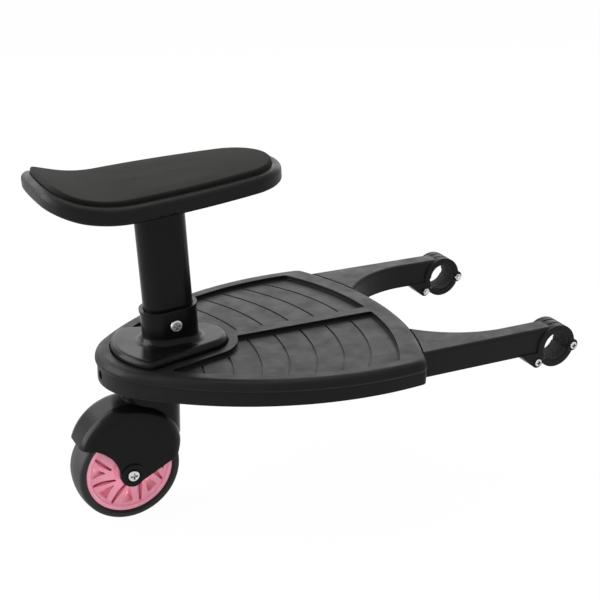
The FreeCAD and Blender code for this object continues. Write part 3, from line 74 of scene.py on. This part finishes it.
def newFinish(name, shader):
    # a material with one principled shader; shader holds the constant socket values
    finish = bpy.data.materials.new(name)
    finish.use_nodes = True
    tree = finish.node_tree
    surface = tree.nodes["Principled BSDF"]
    for socket, value in shader.items():
        surface.inputs[socket].default_value = value
    place = tree.nodes.new("ShaderNodeTexCoord")
    return finish, tree, surface, place.outputs["Object"]


def addNoise(tree, place, scale, detail=3.0, rough=0.55, stretch=None):
    # noise on object coordinates, stretched along an axis where the surface is drawn or turned
    noise = tree.nodes.new("ShaderNodeTexNoise")
    noise.inputs["Scale"].default_value = scale
    noise.inputs["Detail"].default_value = detail
    noise.inputs["Roughness"].default_value = rough
    if stretch:
        mapping = tree.nodes.new("ShaderNodeMapping")
        mapping.inputs["Scale"].default_value = stretch
        tree.links.new(place, mapping.inputs["Vector"])
        place = mapping.outputs["Vector"]
    tree.links.new(place, noise.inputs["Vector"])
    return noise.outputs["Fac"]


def addCells(tree, place, scale):
    # rounded cells for moulded grain, closed foam and spangled zinc
    cells = tree.nodes.new("ShaderNodeTexVoronoi")
    cells.feature = "SMOOTH_F1"
    cells.inputs["Scale"].default_value = scale
    tree.links.new(place, cells.inputs["Vector"])
    return cells.outputs["Distance"]


def addMath(tree, operation, first, second=None):
    step = tree.nodes.new("ShaderNodeMath")
    step.operation = operation
    for socket, value in zip(step.inputs, (first, second)):
        if value is None:
            continue
        if isinstance(value, (int, float)):
            socket.default_value = value
        else:
            tree.links.new(value, socket)
    return step.outputs[0]


def addRange(tree, value, low, high, outLow, outHigh):
    # maps a value from one range to another, held at its ends
    spread = tree.nodes.new("ShaderNodeMapRange")
    for socket, number in zip(("From Min", "From Max", "To Min", "To Max"), (low, high, outLow, outHigh)):
        spread.inputs[socket].default_value = number
    tree.links.new(value, spread.inputs["Value"])
    return spread.outputs["Result"]


def addBlend(tree, share, first, second):
    # mixes two colours by a share
    mix = tree.nodes.new("ShaderNodeMix")
    mix.data_type = "RGBA"
    for side, colour in (("A", first), ("B", second)):
        if isinstance(colour, tuple):
            mix.inputs[side].default_value = (*colour, 1.0)
        else:
            tree.links.new(colour, mix.inputs[side])
    tree.links.new(share, mix.inputs["Factor"])
    return mix.outputs["Result"]


def addWaves(tree, value, pitch):
    # a sine over a length, one wave for each pitch
    return addMath(tree, "SINE", addMath(tree, "MULTIPLY", value, fullTurn / pitch))


def addSoftEdge(tree, radius):
    # normals turned over a small rounding at every edge
    soft = tree.nodes.new("ShaderNodeBevel")
    soft.samples = edgeTrace["samples"]
    soft.inputs["Radius"].default_value = radius
    return soft.outputs["Normal"]


def addEdgeHighlight(tree, soft):
    # share of painted highlight: 1 along the edges, where the softened normal leaves the face's own, 0 on
    # open faces
    face = tree.nodes.new("ShaderNodeNewGeometry")
    meet = tree.nodes.new("ShaderNodeVectorMath")
    meet.operation = "DOT_PRODUCT"
    tree.links.new(soft, meet.inputs[0])
    tree.links.new(face.outputs["Normal"], meet.inputs[1])
    return addRange(tree, meet.outputs["Value"], edgeTrace["fullHighlightAt"], edgeTrace["noHighlightAt"], 1.0, 0.0)


def addHollow(tree, reach, closedAt, openAt):
    # share of painted shade: 1 in holes and grooves, where little open sky is seen within a short reach, 0 on
    # open faces
    shade = tree.nodes.new("ShaderNodeAmbientOcclusion")
    shade.samples = edgeTrace["samples"]
    shade.inputs["Distance"].default_value = reach
    return addRange(tree, shade.outputs["AO"], closedAt, openAt, 1.0, 0.0)


def addRelief(tree, surface, layers, normal=None):
    # stacks bump layers (height, distance in metres, strength) on a normal
    for height, distance, strength in layers:
        bump = tree.nodes.new("ShaderNodeBump")
        bump.inputs["Distance"].default_value = distance
        bump.inputs["Strength"].default_value = strength
        tree.links.new(height, bump.inputs["Height"])
        if normal:
            tree.links.new(normal, bump.inputs["Normal"])
        normal = bump.outputs["Normal"]
    tree.links.new(normal, surface.inputs["Normal"])


def addCentred(tree, place, centre):
    # coordinates measured from a point of the piece
    shift = tree.nodes.new("ShaderNodeVectorMath")
    shift.operation = "SUBTRACT"
    shift.inputs[1].default_value = centre
    tree.links.new(place, shift.inputs[0])
    split = tree.nodes.new("ShaderNodeSeparateXYZ")
    tree.links.new(shift.outputs["Vector"], split.inputs["Vector"])
    return split.outputs["X"], split.outputs["Y"], split.outputs["Z"]


def addRadius(tree, place, axle):
    # distance from the axle, which runs along Y
    x, _, z = addCentred(tree, place, axle)
    square = addMath(tree, "ADD", addMath(tree, "MULTIPLY", x, x), addMath(tree, "MULTIPLY", z, z))
    return addMath(tree, "SQRT", square)


# Finishes, one dictionary of values each; a depth is in metres, a bump is the strength of that relief

mouldingLook = {"dark": (0.0042, 0.0042, 0.0044), "pale": (0.0076, 0.0076, 0.0079),
                "edgeHighlight": (0.030, 0.030, 0.031), "patches": (0.35, 0.65, 0.3, 1.0),
                "rough": (0.34, 0.50), "gloss": 0.12, "edge": 0.0008,
                "cloud": 46.0, "cloudDepth": 0.0006, "cloudBump": 0.4,
                "ripple": 130.0, "rippleDetail": 2.0, "rippleRough": 0.45,
                "rippleDepth": 0.00025, "rippleBump": 0.4,
                "grain": 2600.0, "grainDepth": 0.00006, "grainBump": 0.5}


def blackMoulding():
    # grained black moulding: fine cells over ripples and slow sink marks, and a painted highlight, paler in
    # patches along its edges
    look = mouldingLook
    finish, tree, surface, place = newFinish("blackMoulding", {"Specular IOR Level": look["gloss"]})
    cloud = addNoise(tree, place, look["cloud"])
    ripple = addNoise(tree, place, look["ripple"], look["rippleDetail"], look["rippleRough"])
    grain = addCells(tree, place, look["grain"])
    soft = addSoftEdge(tree, look["edge"])
    # painted highlight: the edges are mixed towards a paler grey, in patches
    highlightShare = addMath(tree, "MULTIPLY", addEdgeHighlight(tree, soft), addRange(tree, ripple, *look["patches"]))
    body = addBlend(tree, cloud, look["dark"], look["pale"])
    tree.links.new(addBlend(tree, highlightShare, body, look["edgeHighlight"]), surface.inputs["Base Color"])
    tree.links.new(addRange(tree, cloud, *noiseSpan, *look["rough"]), surface.inputs["Roughness"])
    addRelief(tree, surface, [(cloud, look["cloudDepth"], look["cloudBump"]),
                              (ripple, look["rippleDepth"], look["rippleBump"]),
                              (grain, look["grainDepth"], look["grainBump"])], soft)
    return finish


satinLook = {"dark": (0.0022, 0.0022, 0.0024), "pale": (0.0042, 0.0042, 0.0044),
             "edgeHighlight": (0.020, 0.020, 0.021), "rough": (0.20, 0.32), "gloss": 0.12, "edge": 0.0008,
             "cloud": 30.0, "cloudDepth": 0.0004, "cloudBump": 0.3,
             "flow": 900.0, "flowDetail": 2.0, "flowRough": 0.5, "flowStretch": (1.0, 1.0, 0.12),
             "flowDepth": 0.00003, "flowBump": 0.35}


def blackSatin():
    # smoother black moulding with faint upright flow lines and a painted highlight along its edges
    look = satinLook
    finish, tree, surface, place = newFinish("blackSatin", {"Specular IOR Level": look["gloss"]})
    cloud = addNoise(tree, place, look["cloud"])
    flow = addNoise(tree, place, look["flow"], look["flowDetail"], look["flowRough"], look["flowStretch"])
    soft = addSoftEdge(tree, look["edge"])
    body = addBlend(tree, cloud, look["dark"], look["pale"])
    # painted highlight: the edges are mixed towards a paler grey
    tree.links.new(addBlend(tree, addEdgeHighlight(tree, soft), body, look["edgeHighlight"]), surface.inputs["Base Color"])
    tree.links.new(addRange(tree, cloud, *noiseSpan, *look["rough"]), surface.inputs["Roughness"])
    addRelief(tree, surface, [(cloud, look["cloudDepth"], look["cloudBump"]),
                              (flow, look["flowDepth"], look["flowBump"])], soft)
    return finish


foamLook = {"dark": (0.0070, 0.0068, 0.0061), "pale": (0.0128, 0.0125, 0.0113),
            "rough": 0.95, "gloss": 0.06, "sheen": 0.03, "sheenRough": 0.6,
            "cells": 1500.0, "cellDepth": 0.00016, "cellBump": 0.6,
            "fuzz": 5200.0, "fuzzDetail": 2.0, "fuzzRough": 0.7, "fuzzDepth": 0.00010, "fuzzBump": 0.5,
            "cloud": 60.0, "cloudDetail": 5.0, "cloudRough": 0.6, "cloudShare": 0.6}


def seatFoam():
    # matt closed-cell foam skin: fine open pores and a soft nap
    look = foamLook
    finish, tree, surface, place = newFinish("seatFoam", {
        "Roughness": look["rough"], "Specular IOR Level": look["gloss"],
        "Sheen Weight": look["sheen"], "Sheen Roughness": look["sheenRough"]})
    cells = addCells(tree, place, look["cells"])
    fuzz = addNoise(tree, place, look["fuzz"], look["fuzzDetail"], look["fuzzRough"])
    cloud = addNoise(tree, place, look["cloud"], look["cloudDetail"], look["cloudRough"])
    mottle = addMath(tree, "ADD", addMath(tree, "MULTIPLY", cloud, look["cloudShare"]),
                     addMath(tree, "MULTIPLY", fuzz, 1 - look["cloudShare"]))
    tree.links.new(addBlend(tree, mottle, look["dark"], look["pale"]), surface.inputs["Base Color"])
    addRelief(tree, surface, [(cells, look["cellDepth"], look["cellBump"]),
                              (fuzz, look["fuzzDepth"], look["fuzzBump"])])
    return finish


rubberLook = {"dark": (0.011, 0.011, 0.011), "pale": (0.021, 0.021, 0.021), "rough": 0.82, "gloss": 0.25,
              "rib": 0.0022, "ribDepth": 0.0003, "ribBump": 0.4,
              "dust": 700.0, "dustDetail": 4.0, "dustDepth": 0.00008, "dustBump": 0.4}


def gripRubber():
    # clamp lining: fine ribs across the bore and a dusty matt skin
    look = rubberLook
    finish, tree, surface, place = newFinish("gripRubber", {
        "Roughness": look["rough"], "Specular IOR Level": look["gloss"]})
    split = tree.nodes.new("ShaderNodeSeparateXYZ")
    tree.links.new(place, split.inputs["Vector"])
    ribs = addWaves(tree, split.outputs["Y"], look["rib"])
    dust = addNoise(tree, place, look["dust"], look["dustDetail"])
    tree.links.new(addBlend(tree, dust, look["dark"], look["pale"]), surface.inputs["Base Color"])
    addRelief(tree, surface, [(ribs, look["ribDepth"], look["ribBump"]),
                              (dust, look["dustDepth"], look["dustBump"])])
    return finish


tyreLook = {"dark": (0.0095, 0.0095, 0.0098), "pale": (0.0200, 0.0200, 0.0203),
            "rough": (0.42, 0.60), "gloss": 0.22, "edge": 0.0008,
            "rings": 0.0016, "ringDepth": 0.00012, "ringBump": 0.25,
            "scuff": 260.0, "scuffDetail": 5.0, "scuffRough": 0.65, "scuffDepth": 0.00010, "scuffBump": 0.35}


def tyreRubber(axle):
    # turned tyre: faint rings about the axle and light scuffing
    look = tyreLook
    finish, tree, surface, place = newFinish("tyreRubber", {"Specular IOR Level": look["gloss"]})
    rings = addWaves(tree, addRadius(tree, place, axle), look["rings"])
    scuff = addNoise(tree, place, look["scuff"], look["scuffDetail"], look["scuffRough"])
    tree.links.new(addBlend(tree, scuff, look["dark"], look["pale"]), surface.inputs["Base Color"])
    tree.links.new(addRange(tree, scuff, *noiseSpan, *look["rough"]), surface.inputs["Roughness"])
    soft = addSoftEdge(tree, look["edge"])
    addRelief(tree, surface, [(rings, look["ringDepth"], look["ringBump"]),
                              (scuff, look["scuffDepth"], look["scuffBump"])], soft)
    return finish


hubLook = {"face": (0.90, 0.350, 0.470), "shadeAndTint": (0.68, 0.080, 0.150), "shade": (0.10, 0.02, 0.03),
           "rough": 0.34, "gloss": 0.42, "glow": 0.06, "glowReach": (0.004, 0.0015, 0.0015), "edge": 0.0009,
           "hollow": 0.005, "closedAt": 0.10, "openAt": 0.55,
           "count": 8, "firstAngle": 16.0, "sweep": 25.0, "inner": 0.019, "outer": 0.042,
           "width": 0.0024, "fullTo": 0.4, "goneAt": 0.75, "fade": 0.0012,
           "cloud": 55.0, "cloudDetail": 4.0, "cloudTint": (0.45, 0.75, 0.0, 0.10),
           "cloudDepth": 0.0002, "cloudBump": 0.25,
           "grain": 1400.0, "grainDepth": 0.00003, "grainBump": 0.3}


def pinkHub(axle):
    # pink moulding with painted shade along its slanting grooves, a darker pink: the share of that painted
    # shade
    #     # falls off with the distance from the line where angle = first + sweep * (outer - r) / (outer -
    #     inner), repeated
    #     # round the hub; holes and hollows carry painted shade in dark red
    look = hubLook
    finish, tree, surface, place = newFinish("pinkHub", {
        "Roughness": look["rough"], "Specular IOR Level": look["gloss"],
        "Subsurface Weight": look["glow"], "Subsurface Radius": look["glowReach"]})
    x, _, z = addCentred(tree, place, axle)
    radius = addRadius(tree, place, axle)
    angle = addMath(tree, "ARCTAN2", z, x)
    turn = math.radians(look["sweep"]) / (look["outer"] - look["inner"])
    lead = addMath(tree, "MULTIPLY", addMath(tree, "SUBTRACT", look["outer"], radius), turn)
    along = addMath(tree, "SUBTRACT", angle, lead)
    along = addMath(tree, "SUBTRACT", along, math.radians(look["firstAngle"]))
    along = addMath(tree, "ADD", along, 2 * fullTurn)  # keeps the angle above zero
    off = addMath(tree, "PINGPONG", along, fullTurn / look["count"] / 2)
    across = addMath(tree, "MULTIPLY", off, radius)
    width = look["width"]
    # painted shade along each slanting groove, fading out across it and at the rim and boss
    grooveShade = addRange(tree, across, look["fullTo"] * width, look["goneAt"] * width, 1.0, 0.0)
    inReach = addRange(tree, radius, look["outer"], look["outer"] + look["fade"], 1.0, 0.0)
    outOfBoss = addRange(tree, radius, look["inner"] - look["fade"], look["inner"], 0.0, 1.0)
    share = addMath(tree, "MULTIPLY", addMath(tree, "MULTIPLY", grooveShade, inReach), outOfBoss)
    cloud = addNoise(tree, place, look["cloud"], look["cloudDetail"])
    # the painted groove shade plus a small random tint towards the same darker pink
    shadeAndTintShare = addMath(tree, "ADD", share, addRange(tree, cloud, *look["cloudTint"]))
    face = addBlend(tree, shadeAndTintShare, look["face"], look["shadeAndTint"])
    # painted shade: holes and hollows are darkened towards dark red
    hollow = addHollow(tree, look["hollow"], look["closedAt"], look["openAt"])
    tree.links.new(addBlend(tree, hollow, face, look["shade"]), surface.inputs["Base Color"])
    grain = addNoise(tree, place, look["grain"])
    soft = addSoftEdge(tree, look["edge"])
    addRelief(tree, surface, [(cloud, look["cloudDepth"], look["cloudBump"]),
                              (grain, look["grainDepth"], look["grainBump"])], soft)
    return finish


zincLook = {"dark": (0.52, 0.52, 0.51), "pale": (0.80, 0.80, 0.78), "recessShade": (0.03, 0.03, 0.03),
            "rough": (0.20, 0.36), "edge": 0.0003, "hollow": 0.0025, "closedAt": 0.25, "openAt": 0.85,
            "spangle": 420.0, "marks": 2400.0, "marksDetail": 2.0, "marksDepth": 0.00002, "marksBump": 0.4}


def zincPlate():
    # bright zinc plate: small spangles, fine tool marks and painted shade in the drive recesses
    look = zincLook
    finish, tree, surface, place = newFinish("zincPlate", {"Metallic": 1.0})
    spangle = addCells(tree, place, look["spangle"])
    marks = addNoise(tree, place, look["marks"], look["marksDetail"])
    plate = addBlend(tree, spangle, look["dark"], look["pale"])
    # painted shade: the drive recesses are darkened towards near black
    hollow = addHollow(tree, look["hollow"], look["closedAt"], look["openAt"])
    tree.links.new(addBlend(tree, hollow, plate, look["recessShade"]), surface.inputs["Base Color"])
    tree.links.new(addRange(tree, marks, *noiseSpan, *look["rough"]), surface.inputs["Roughness"])
    soft = addSoftEdge(tree, look["edge"])
    addRelief(tree, surface, [(marks, look["marksDepth"], look["marksBump"])], soft)
    return finish


bearingLook = {"dark": (0.45, 0.45, 0.46), "pale": (0.66, 0.66, 0.67), "rough": (0.24, 0.38), "cloud": 300.0,
               "rings": 0.0004, "ringDepth": 0.00002, "ringBump": 0.3}


def bearingSteel(axle):
    # ground steel: rings about the axle
    look = bearingLook
    finish, tree, surface, place = newFinish("bearingSteel", {"Metallic": 1.0})
    rings = addWaves(tree, addRadius(tree, place, axle), look["rings"])
    cloud = addNoise(tree, place, look["cloud"])
    tree.links.new(addBlend(tree, cloud, look["dark"], look["pale"]), surface.inputs["Base Color"])
    tree.links.new(addRange(tree, cloud, *noiseSpan, *look["rough"]), surface.inputs["Roughness"])
    addRelief(tree, surface, [(rings, look["ringDepth"], look["ringBump"])])
    return finish


nylonLook = {"dark": (0.50, 0.49, 0.44), "pale": (0.62, 0.61, 0.57), "rough": 0.48, "glow": 0.05,
             "cloud": 160.0, "cloudDetail": 4.0, "cloudDepth": 0.0001, "cloudBump": 0.3}


def bushNylon():
    # natural nylon with slight clouding
    look = nylonLook
    finish, tree, surface, place = newFinish("bushNylon", {
        "Roughness": look["rough"], "Subsurface Weight": look["glow"]})
    cloud = addNoise(tree, place, look["cloud"], look["cloudDetail"])
    tree.links.new(addBlend(tree, cloud, look["dark"], look["pale"]), surface.inputs["Base Color"])
    addRelief(tree, surface, [(cloud, look["cloudDepth"], look["cloudBump"])])
    return finish


tyreLow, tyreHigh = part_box("tyre")
axle = (tyreLow + tyreHigh) / 2
finishes = {"black_plastic": blackMoulding(), "black_satin": blackSatin(), "seat_vinyl": seatFoam(),
            "grip_rubber": gripRubber(), "tyre_rubber": tyreRubber(axle), "pink_plastic": pinkHub(axle),
            "zinc_steel": zincPlate(), "bearing_steel": bearingSteel(axle), "bush_nylon": bushNylon()}
for subpart in frame["record"]["subparts"]:
    mesh = nodes[subpart["node"]].data
    mesh.materials.clear()
    mesh.materials.append(finishes[subpart["material_slot"]])


# Seat pad

padShape = {"postBack": 0.412, "deckTop": 0.024, "lean": math.radians(4.3), "level": 0.1845,
            "nose": 0.1235, "noseRadius": 0.047, "halfWidth": 0.0583, "widest": 0.042, "rear": 0.118,
            "rearRadius": 0.280, "corner": 0.030, "kickStart": 0.0447, "kickRise": 0.0275, "border": 0.0097,
            "foot": -0.00365, "edge": 0.00435, "crown": 0.0012, "edgeRound": 0.0022, "drawnIn": 0.0011,
            "round": 220, "rings": 30, "turns": 7, "middle": 0.12,
            "held": 0.0045, "pressure": 3.5, "stiff": 40.0, "frames": 20, "swell": 0.0012,
            "calm": 60, "ease": 0.5}


def arcPoints(centre, start, end, count=40):
    # points on a circle from start to end, the short way round
    first = math.atan2(*(start - centre)[::-1])
    last = math.atan2(*(end - centre)[::-1])
    swing = (last - first + math.pi) % fullTurn - math.pi
    angles = first + swing * np.linspace(0, 1, count, endpoint=False)
    return centre + np.linalg.norm(start - centre) * np.stack([np.cos(angles), np.sin(angles)], 1)


def towards(vector):
    return vector / np.linalg.norm(vector)


def padOutline(shape):
    # the pad's plan, front nose at +u: a nose arc, a long side arc that runs into it, a corner and a rear
    # arc, then the other side mirrored, spread evenly along its length
    nose = np.array([shape["noseRadius"] - shape["nose"], 0.0])
    run = shape["widest"] - nose[0]
    half = shape["halfWidth"]
    sideRadius = (run ** 2 + half ** 2 - shape["noseRadius"] ** 2) / (2 * (half - shape["noseRadius"]))
    side = np.array([shape["widest"], half - sideRadius])
    rear = np.array([shape["rear"] - shape["rearRadius"], 0.0])
    reachSide = sideRadius - shape["corner"]
    reachRear = shape["rearRadius"] - shape["corner"]
    span = np.linalg.norm(rear - side)
    along = (span ** 2 + reachSide ** 2 - reachRear ** 2) / (2 * span)
    forward = towards(rear - side)
    aside = np.array([-forward[1], forward[0]]) * math.sqrt(reachSide ** 2 - along ** 2)
    bend = max((side + forward * along + sign * aside for sign in (1, -1)), key=lambda point: point[1])
    first = nose + towards(nose - side) * shape["noseRadius"]
    second = bend + towards(bend - side) * shape["corner"]
    third = bend + towards(bend - rear) * shape["corner"]
    front = np.array([-shape["nose"], 0.0])
    back = np.array([shape["rear"], 0.0])
    upper = np.concatenate([arcPoints(nose, front, first), arcPoints(side, first, second),
                            arcPoints(bend, second, third), arcPoints(rear, third, back)])
    lower = np.concatenate([back[None], upper[:0:-1]]) * (1.0, -1.0)
    loop = np.concatenate([upper, lower])
    closed = np.concatenate([loop, loop[:1]])
    length = np.concatenate([[0.0], np.cumsum(np.linalg.norm(np.diff(closed, axis=0), axis=1))])
    even = np.linspace(0, length[-1], shape["round"], endpoint=False)
    return np.stack([-np.interp(even, length, closed[:, 0]), np.interp(even, length, closed[:, 1])], 1)


def padPlace(shape, u, v, height):
    # the seat's side line: level from the front, then a circle that turns up behind kickStart; height is
    # measured square to that line, and the whole leans back with the post
    run = shape["rear"] + shape["border"] - shape["kickStart"]
    bow = (run ** 2 + shape["kickRise"] ** 2) / (2 * shape["kickRise"])
    behind = np.clip(-u - shape["kickStart"], 0, None)
    z = shape["level"] + bow - np.sqrt((bow - height) ** 2 - behind ** 2)
    x = u * math.cos(shape["lean"]) - z * math.sin(shape["lean"])
    up = u * math.sin(shape["lean"]) + z * math.cos(shape["lean"])
    return np.stack([x - shape["postBack"], v, up + shape["deckTop"]], -1)


def gridMesh(name, points, finish, poleStart, poleEnd):
    # a closed skin from rings of points, each ring closed, with a pole at each end
    rings, around = points.shape[:2]
    corners = np.arange(rings * around).reshape(rings, around)
    after = np.roll(corners, -1, axis=1)
    quads = np.stack([corners[:-1], after[:-1], after[1:], corners[1:]], -1).reshape(-1, 4)
    startPole, endPole = rings * around, rings * around + 1
    startFan = np.stack([after[0], corners[0], np.full(around, startPole)], -1)
    endFan = np.stack([corners[-1], after[-1], np.full(around, endPole)], -1)
    mesh = bpy.data.meshes.new(name)
    vertices = np.concatenate([points.reshape(-1, 3), poleStart[None], poleEnd[None]])
    mesh.from_pydata(vertices.tolist(), [], quads.tolist() + startFan.tolist() + endFan.tolist())
    mesh.materials.append(finish)
    mesh.shade_smooth()
    piece = bpy.data.objects.new(name, mesh)
    bpy.context.scene.collection.objects.link(piece)
    return piece


def swellPad(pad, shape, held):
    # blows the pad up as cloth, held where it sits in the pan; no point moves further than the swell, and the
    # moves are evened out between neighbours, as foam under the skin would do
    group = pad.vertex_groups.new(name="held")
    group.add(held.tolist(), 1.0, "REPLACE")
    cloth = pad.modifiers.new("swell", "CLOTH")
    cloth.settings.vertex_group_mass = "held"
    cloth.settings.tension_stiffness = shape["stiff"]
    cloth.settings.compression_stiffness = shape["stiff"]
    cloth.settings.bending_stiffness = shape["stiff"]
    cloth.settings.use_pressure = True
    cloth.settings.uniform_pressure_force = shape["pressure"]
    cloth.settings.effector_weights.gravity = 0.0
    scene = bpy.context.scene
    for number in range(1, shape["frames"] + 1):
        scene.frame_set(number)
    before = np.empty(len(pad.data.vertices) * 3, np.float32)
    pad.data.vertices.foreach_get("co", before)
    after = np.empty_like(before)
    pad.evaluated_get(bpy.context.evaluated_depsgraph_get()).data.vertices.foreach_get("co", after)
    move = (after - before).reshape(-1, 3)
    reach = np.linalg.norm(move, axis=1, keepdims=True)
    move *= np.minimum(1.0, shape["swell"] / np.maximum(reach, np.finfo(np.float32).tiny))
    grid = move[:-2].reshape(-1, shape["round"], 3)  # the two poles come last
    for _ in range(shape["calm"]):
        sideways = np.roll(grid, 1, axis=1)[1:-1] + np.roll(grid, -1, axis=1)[1:-1]
        inner = (grid[2:] + grid[:-2] + sideways) / 4
        grid[1:-1] += shape["ease"] * (inner - grid[1:-1])
    grid.reshape(-1, 3)[held] = 0.0
    grid[-1] = grid[-2].mean(0)
    move[-1] = grid[-1].mean(0)
    pad.modifiers.remove(cloth)
    pad.vertex_groups.remove(group)
    pad.data.vertices.foreach_set("co", before + move.ravel())
    pad.data.update()
    scene.frame_set(1)
    print("seat pad swells by up to", round(float(np.linalg.norm(move, axis=1).max()) * 1000, 2), "mm")


def buildSeatPad():
    # rings run from the middle of the underside out to the edge, up the drawn-in side, over a rounded upper
    # edge and back to the middle; the top is crowned by crown * (1 - (v / halfWidth)^2)
    shape = padShape
    outline = padOutline(shape)
    centre = outline.mean(0)
    step = np.roll(outline, -1, axis=0) - np.roll(outline, 1, axis=0)
    outward = np.stack([step[:, 1], -step[:, 0]], 1)
    outward /= np.linalg.norm(outward, axis=1, keepdims=True)
    outward *= np.sign(np.sum(outward * (outline - centre)))
    flat = np.linspace(shape["middle"], 1.0, shape["rings"], endpoint=False)
    turn = np.linspace(0, math.pi / 2, shape["turns"])
    low, high, soft = shape["foot"], shape["edge"], shape["edgeRound"]
    sideInset = np.concatenate([shape["drawnIn"] * (1 - np.sin(turn)), soft * (1 - np.cos(turn))])
    sideHeight = np.concatenate([low + shape["drawnIn"] * (1 - np.cos(turn)),
                                 high - soft + soft * np.sin(turn)])
    share = np.concatenate([flat, np.ones(len(sideInset)), flat[::-1]])
    inset = np.concatenate([np.full(len(flat), shape["drawnIn"]), sideInset, np.full(len(flat), soft)])
    height = np.concatenate([np.full(len(flat), low), sideHeight, np.full(len(flat), high)])
    onTop = np.concatenate([np.zeros(len(flat)), np.zeros(len(turn)), np.sin(turn) ** 2, np.ones(len(flat))])
    plan = centre + (outline - centre - outward * inset[:, None, None]) * share[:, None, None]
    u, v = plan[..., 0], plan[..., 1]
    crown = shape["crown"] * onTop[:, None] * (1 - (v / shape["halfWidth"]) ** 2)
    points = padPlace(shape, u, v, height[:, None] + crown)
    poles = [padPlace(shape, centre[:1], centre[1:], np.array([level]))[0]
             for level in (low, high + shape["crown"])]
    pad = gridMesh("seatPad", points, finishes["seat_vinyl"], *poles)
    lowRings = np.flatnonzero(height < low + shape["held"])
    held = (lowRings[:, None] * len(outline) + np.arange(len(outline))).ravel()
    swellPad(pad, shape, held)
    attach(pad, "board")
    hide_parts("seat_pad")
    return pad


seatPad = buildSeatPad()
print("seat pad:", len(seatPad.data.polygons), "faces")


# Stage, light and camera

stageLook = {"white": (1.0, 1.0, 1.0), "floor": (0.86, 0.86, 0.86), "floorRough": 0.9, "floorGloss": 0.0,
             "floorReach": 6.0, "floorShade": 0.03, "worldLight": 0.75}


def whenSeen(tree):
    # 1 for rays that show the background: straight from the camera, mirrored or through glass
    path = tree.nodes.new("ShaderNodeLightPath")
    seen = addMath(tree, "MAXIMUM", path.outputs["Is Camera Ray"], path.outputs["Is Glossy Ray"])
    return addMath(tree, "MAXIMUM", seen, path.outputs["Is Transmission Ray"])


def buildFloor():
    # a pale square under the wheel that is seen as white, but for a faint shadow
    level = cadLow.z
    mesh = bpy.data.meshes.new("floor")
    corners = np.array([(-1, -1), (1, -1), (1, 1), (-1, 1)]) * stageLook["floorReach"]
    mesh.from_pydata([(x, y, level) for x, y in corners.tolist()], [], [(0, 1, 2, 3)])
    floor = bpy.data.objects.new("floor", mesh)
    bpy.context.scene.collection.objects.link(floor)
    look = bpy.data.materials.new("paleFloor")
    look.use_nodes = True
    tree = look.node_tree
    surface = tree.nodes["Principled BSDF"]
    surface.inputs["Base Color"].default_value = (*stageLook["floor"], 1.0)
    surface.inputs["Roughness"].default_value = stageLook["floorRough"]
    surface.inputs["Specular IOR Level"].default_value = stageLook["floorGloss"]
    white = tree.nodes.new("ShaderNodeEmission")
    mix = tree.nodes.new("ShaderNodeMixShader")
    share = addMath(tree, "MULTIPLY", whenSeen(tree), 1.0 - stageLook["floorShade"])
    tree.links.new(share, mix.inputs["Fac"])
    tree.links.new(surface.outputs["BSDF"], mix.inputs[1])
    tree.links.new(white.outputs["Emission"], mix.inputs[2])
    tree.links.new(mix.outputs["Shader"], tree.nodes["Material Output"].inputs["Surface"])
    mesh.materials.append(look)


def buildWorld():
    # white where it is seen, and a plain soft light on the object
    world = bpy.data.worlds.new("studio")
    bpy.context.scene.world = world
    world.use_nodes = True
    tree = world.node_tree
    background = tree.nodes["Background"]
    background.inputs["Color"].default_value = (*stageLook["white"], 1.0)
    strength = addRange(tree, whenSeen(tree), 0.0, 1.0, stageLook["worldLight"], 1.0)
    tree.links.new(strength, background.inputs["Strength"])


lamps = {"behind": {"at": (0.55, 2.0, 1.00), "aim": (0.20, 0.0, 0.05), "size": (4.4, 1.2), "power": 33.0},
         "overhead": {"at": (-0.35, 0.1, 1.60), "aim": (-0.30, 0.0, 0.00), "size": (1.2, 1.2), "power": 10.0},
         "upperLeft": {"at": (-1.15, 0.8, 1.10), "aim": (-0.45, 0.0, 0.00), "size": (0.7, 0.7), "power": 7.0},
         "leftSide": {"at": (-1.70, 0.4, 0.55), "aim": (-0.45, 0.0, 0.05), "size": (1.2, 1.3), "power": 34.0}}


def buildLamps():
    for name, lamp in lamps.items():
        light = bpy.data.lights.new(name, "AREA")
        light.shape = "RECTANGLE"
        light.size, light.size_y = lamp["size"]
        light.energy = lamp["power"]
        holder = bpy.data.objects.new(name, light)
        holder.location = lamp["at"]
        heading = Vector(lamp["aim"]) - Vector(lamp["at"])
        holder.rotation_euler = heading.to_track_quat("-Z", "Y").to_euler()
        bpy.context.scene.collection.objects.link(holder)


viewpoint = {"at": (-0.8275, -1.0789, 0.5530), "azimuth": -27.761, "elevation": 22.428, "roll": 1.567,
             "lens": 71.44, "sensor": 36.0, "nearest": 0.05, "farthest": 50.0}


def buildCamera():
    # stands where the photograph was taken, looking along the heading given and rolled a little
    turn, tilt, roll = (math.radians(viewpoint[key]) for key in ("azimuth", "elevation", "roll"))
    back = Vector((math.sin(turn) * math.cos(tilt), -math.cos(turn) * math.cos(tilt), math.sin(tilt)))
    right = Vector((math.cos(turn), math.sin(turn), 0.0))
    up = back.cross(right)
    sideways = right * math.cos(roll) + up * math.sin(roll)
    upward = up * math.cos(roll) - right * math.sin(roll)
    data = bpy.data.cameras.new("photoView")
    data.lens = viewpoint["lens"]
    data.sensor_width = viewpoint["sensor"]
    data.clip_start = viewpoint["nearest"]
    data.clip_end = viewpoint["farthest"]
    camera = bpy.data.objects.new("photoView", data)
    turned = Matrix((sideways, upward, back)).transposed().to_4x4()
    camera.matrix_world = Matrix.Translation(viewpoint["at"]) @ turned
    bpy.context.scene.collection.objects.link(camera)
    bpy.context.scene.camera = camera


buildFloor()
buildWorld()
buildLamps()
buildCamera()
bpy.context.scene.view_settings.view_transform = "Standard"
print("stage, lamps and camera set")
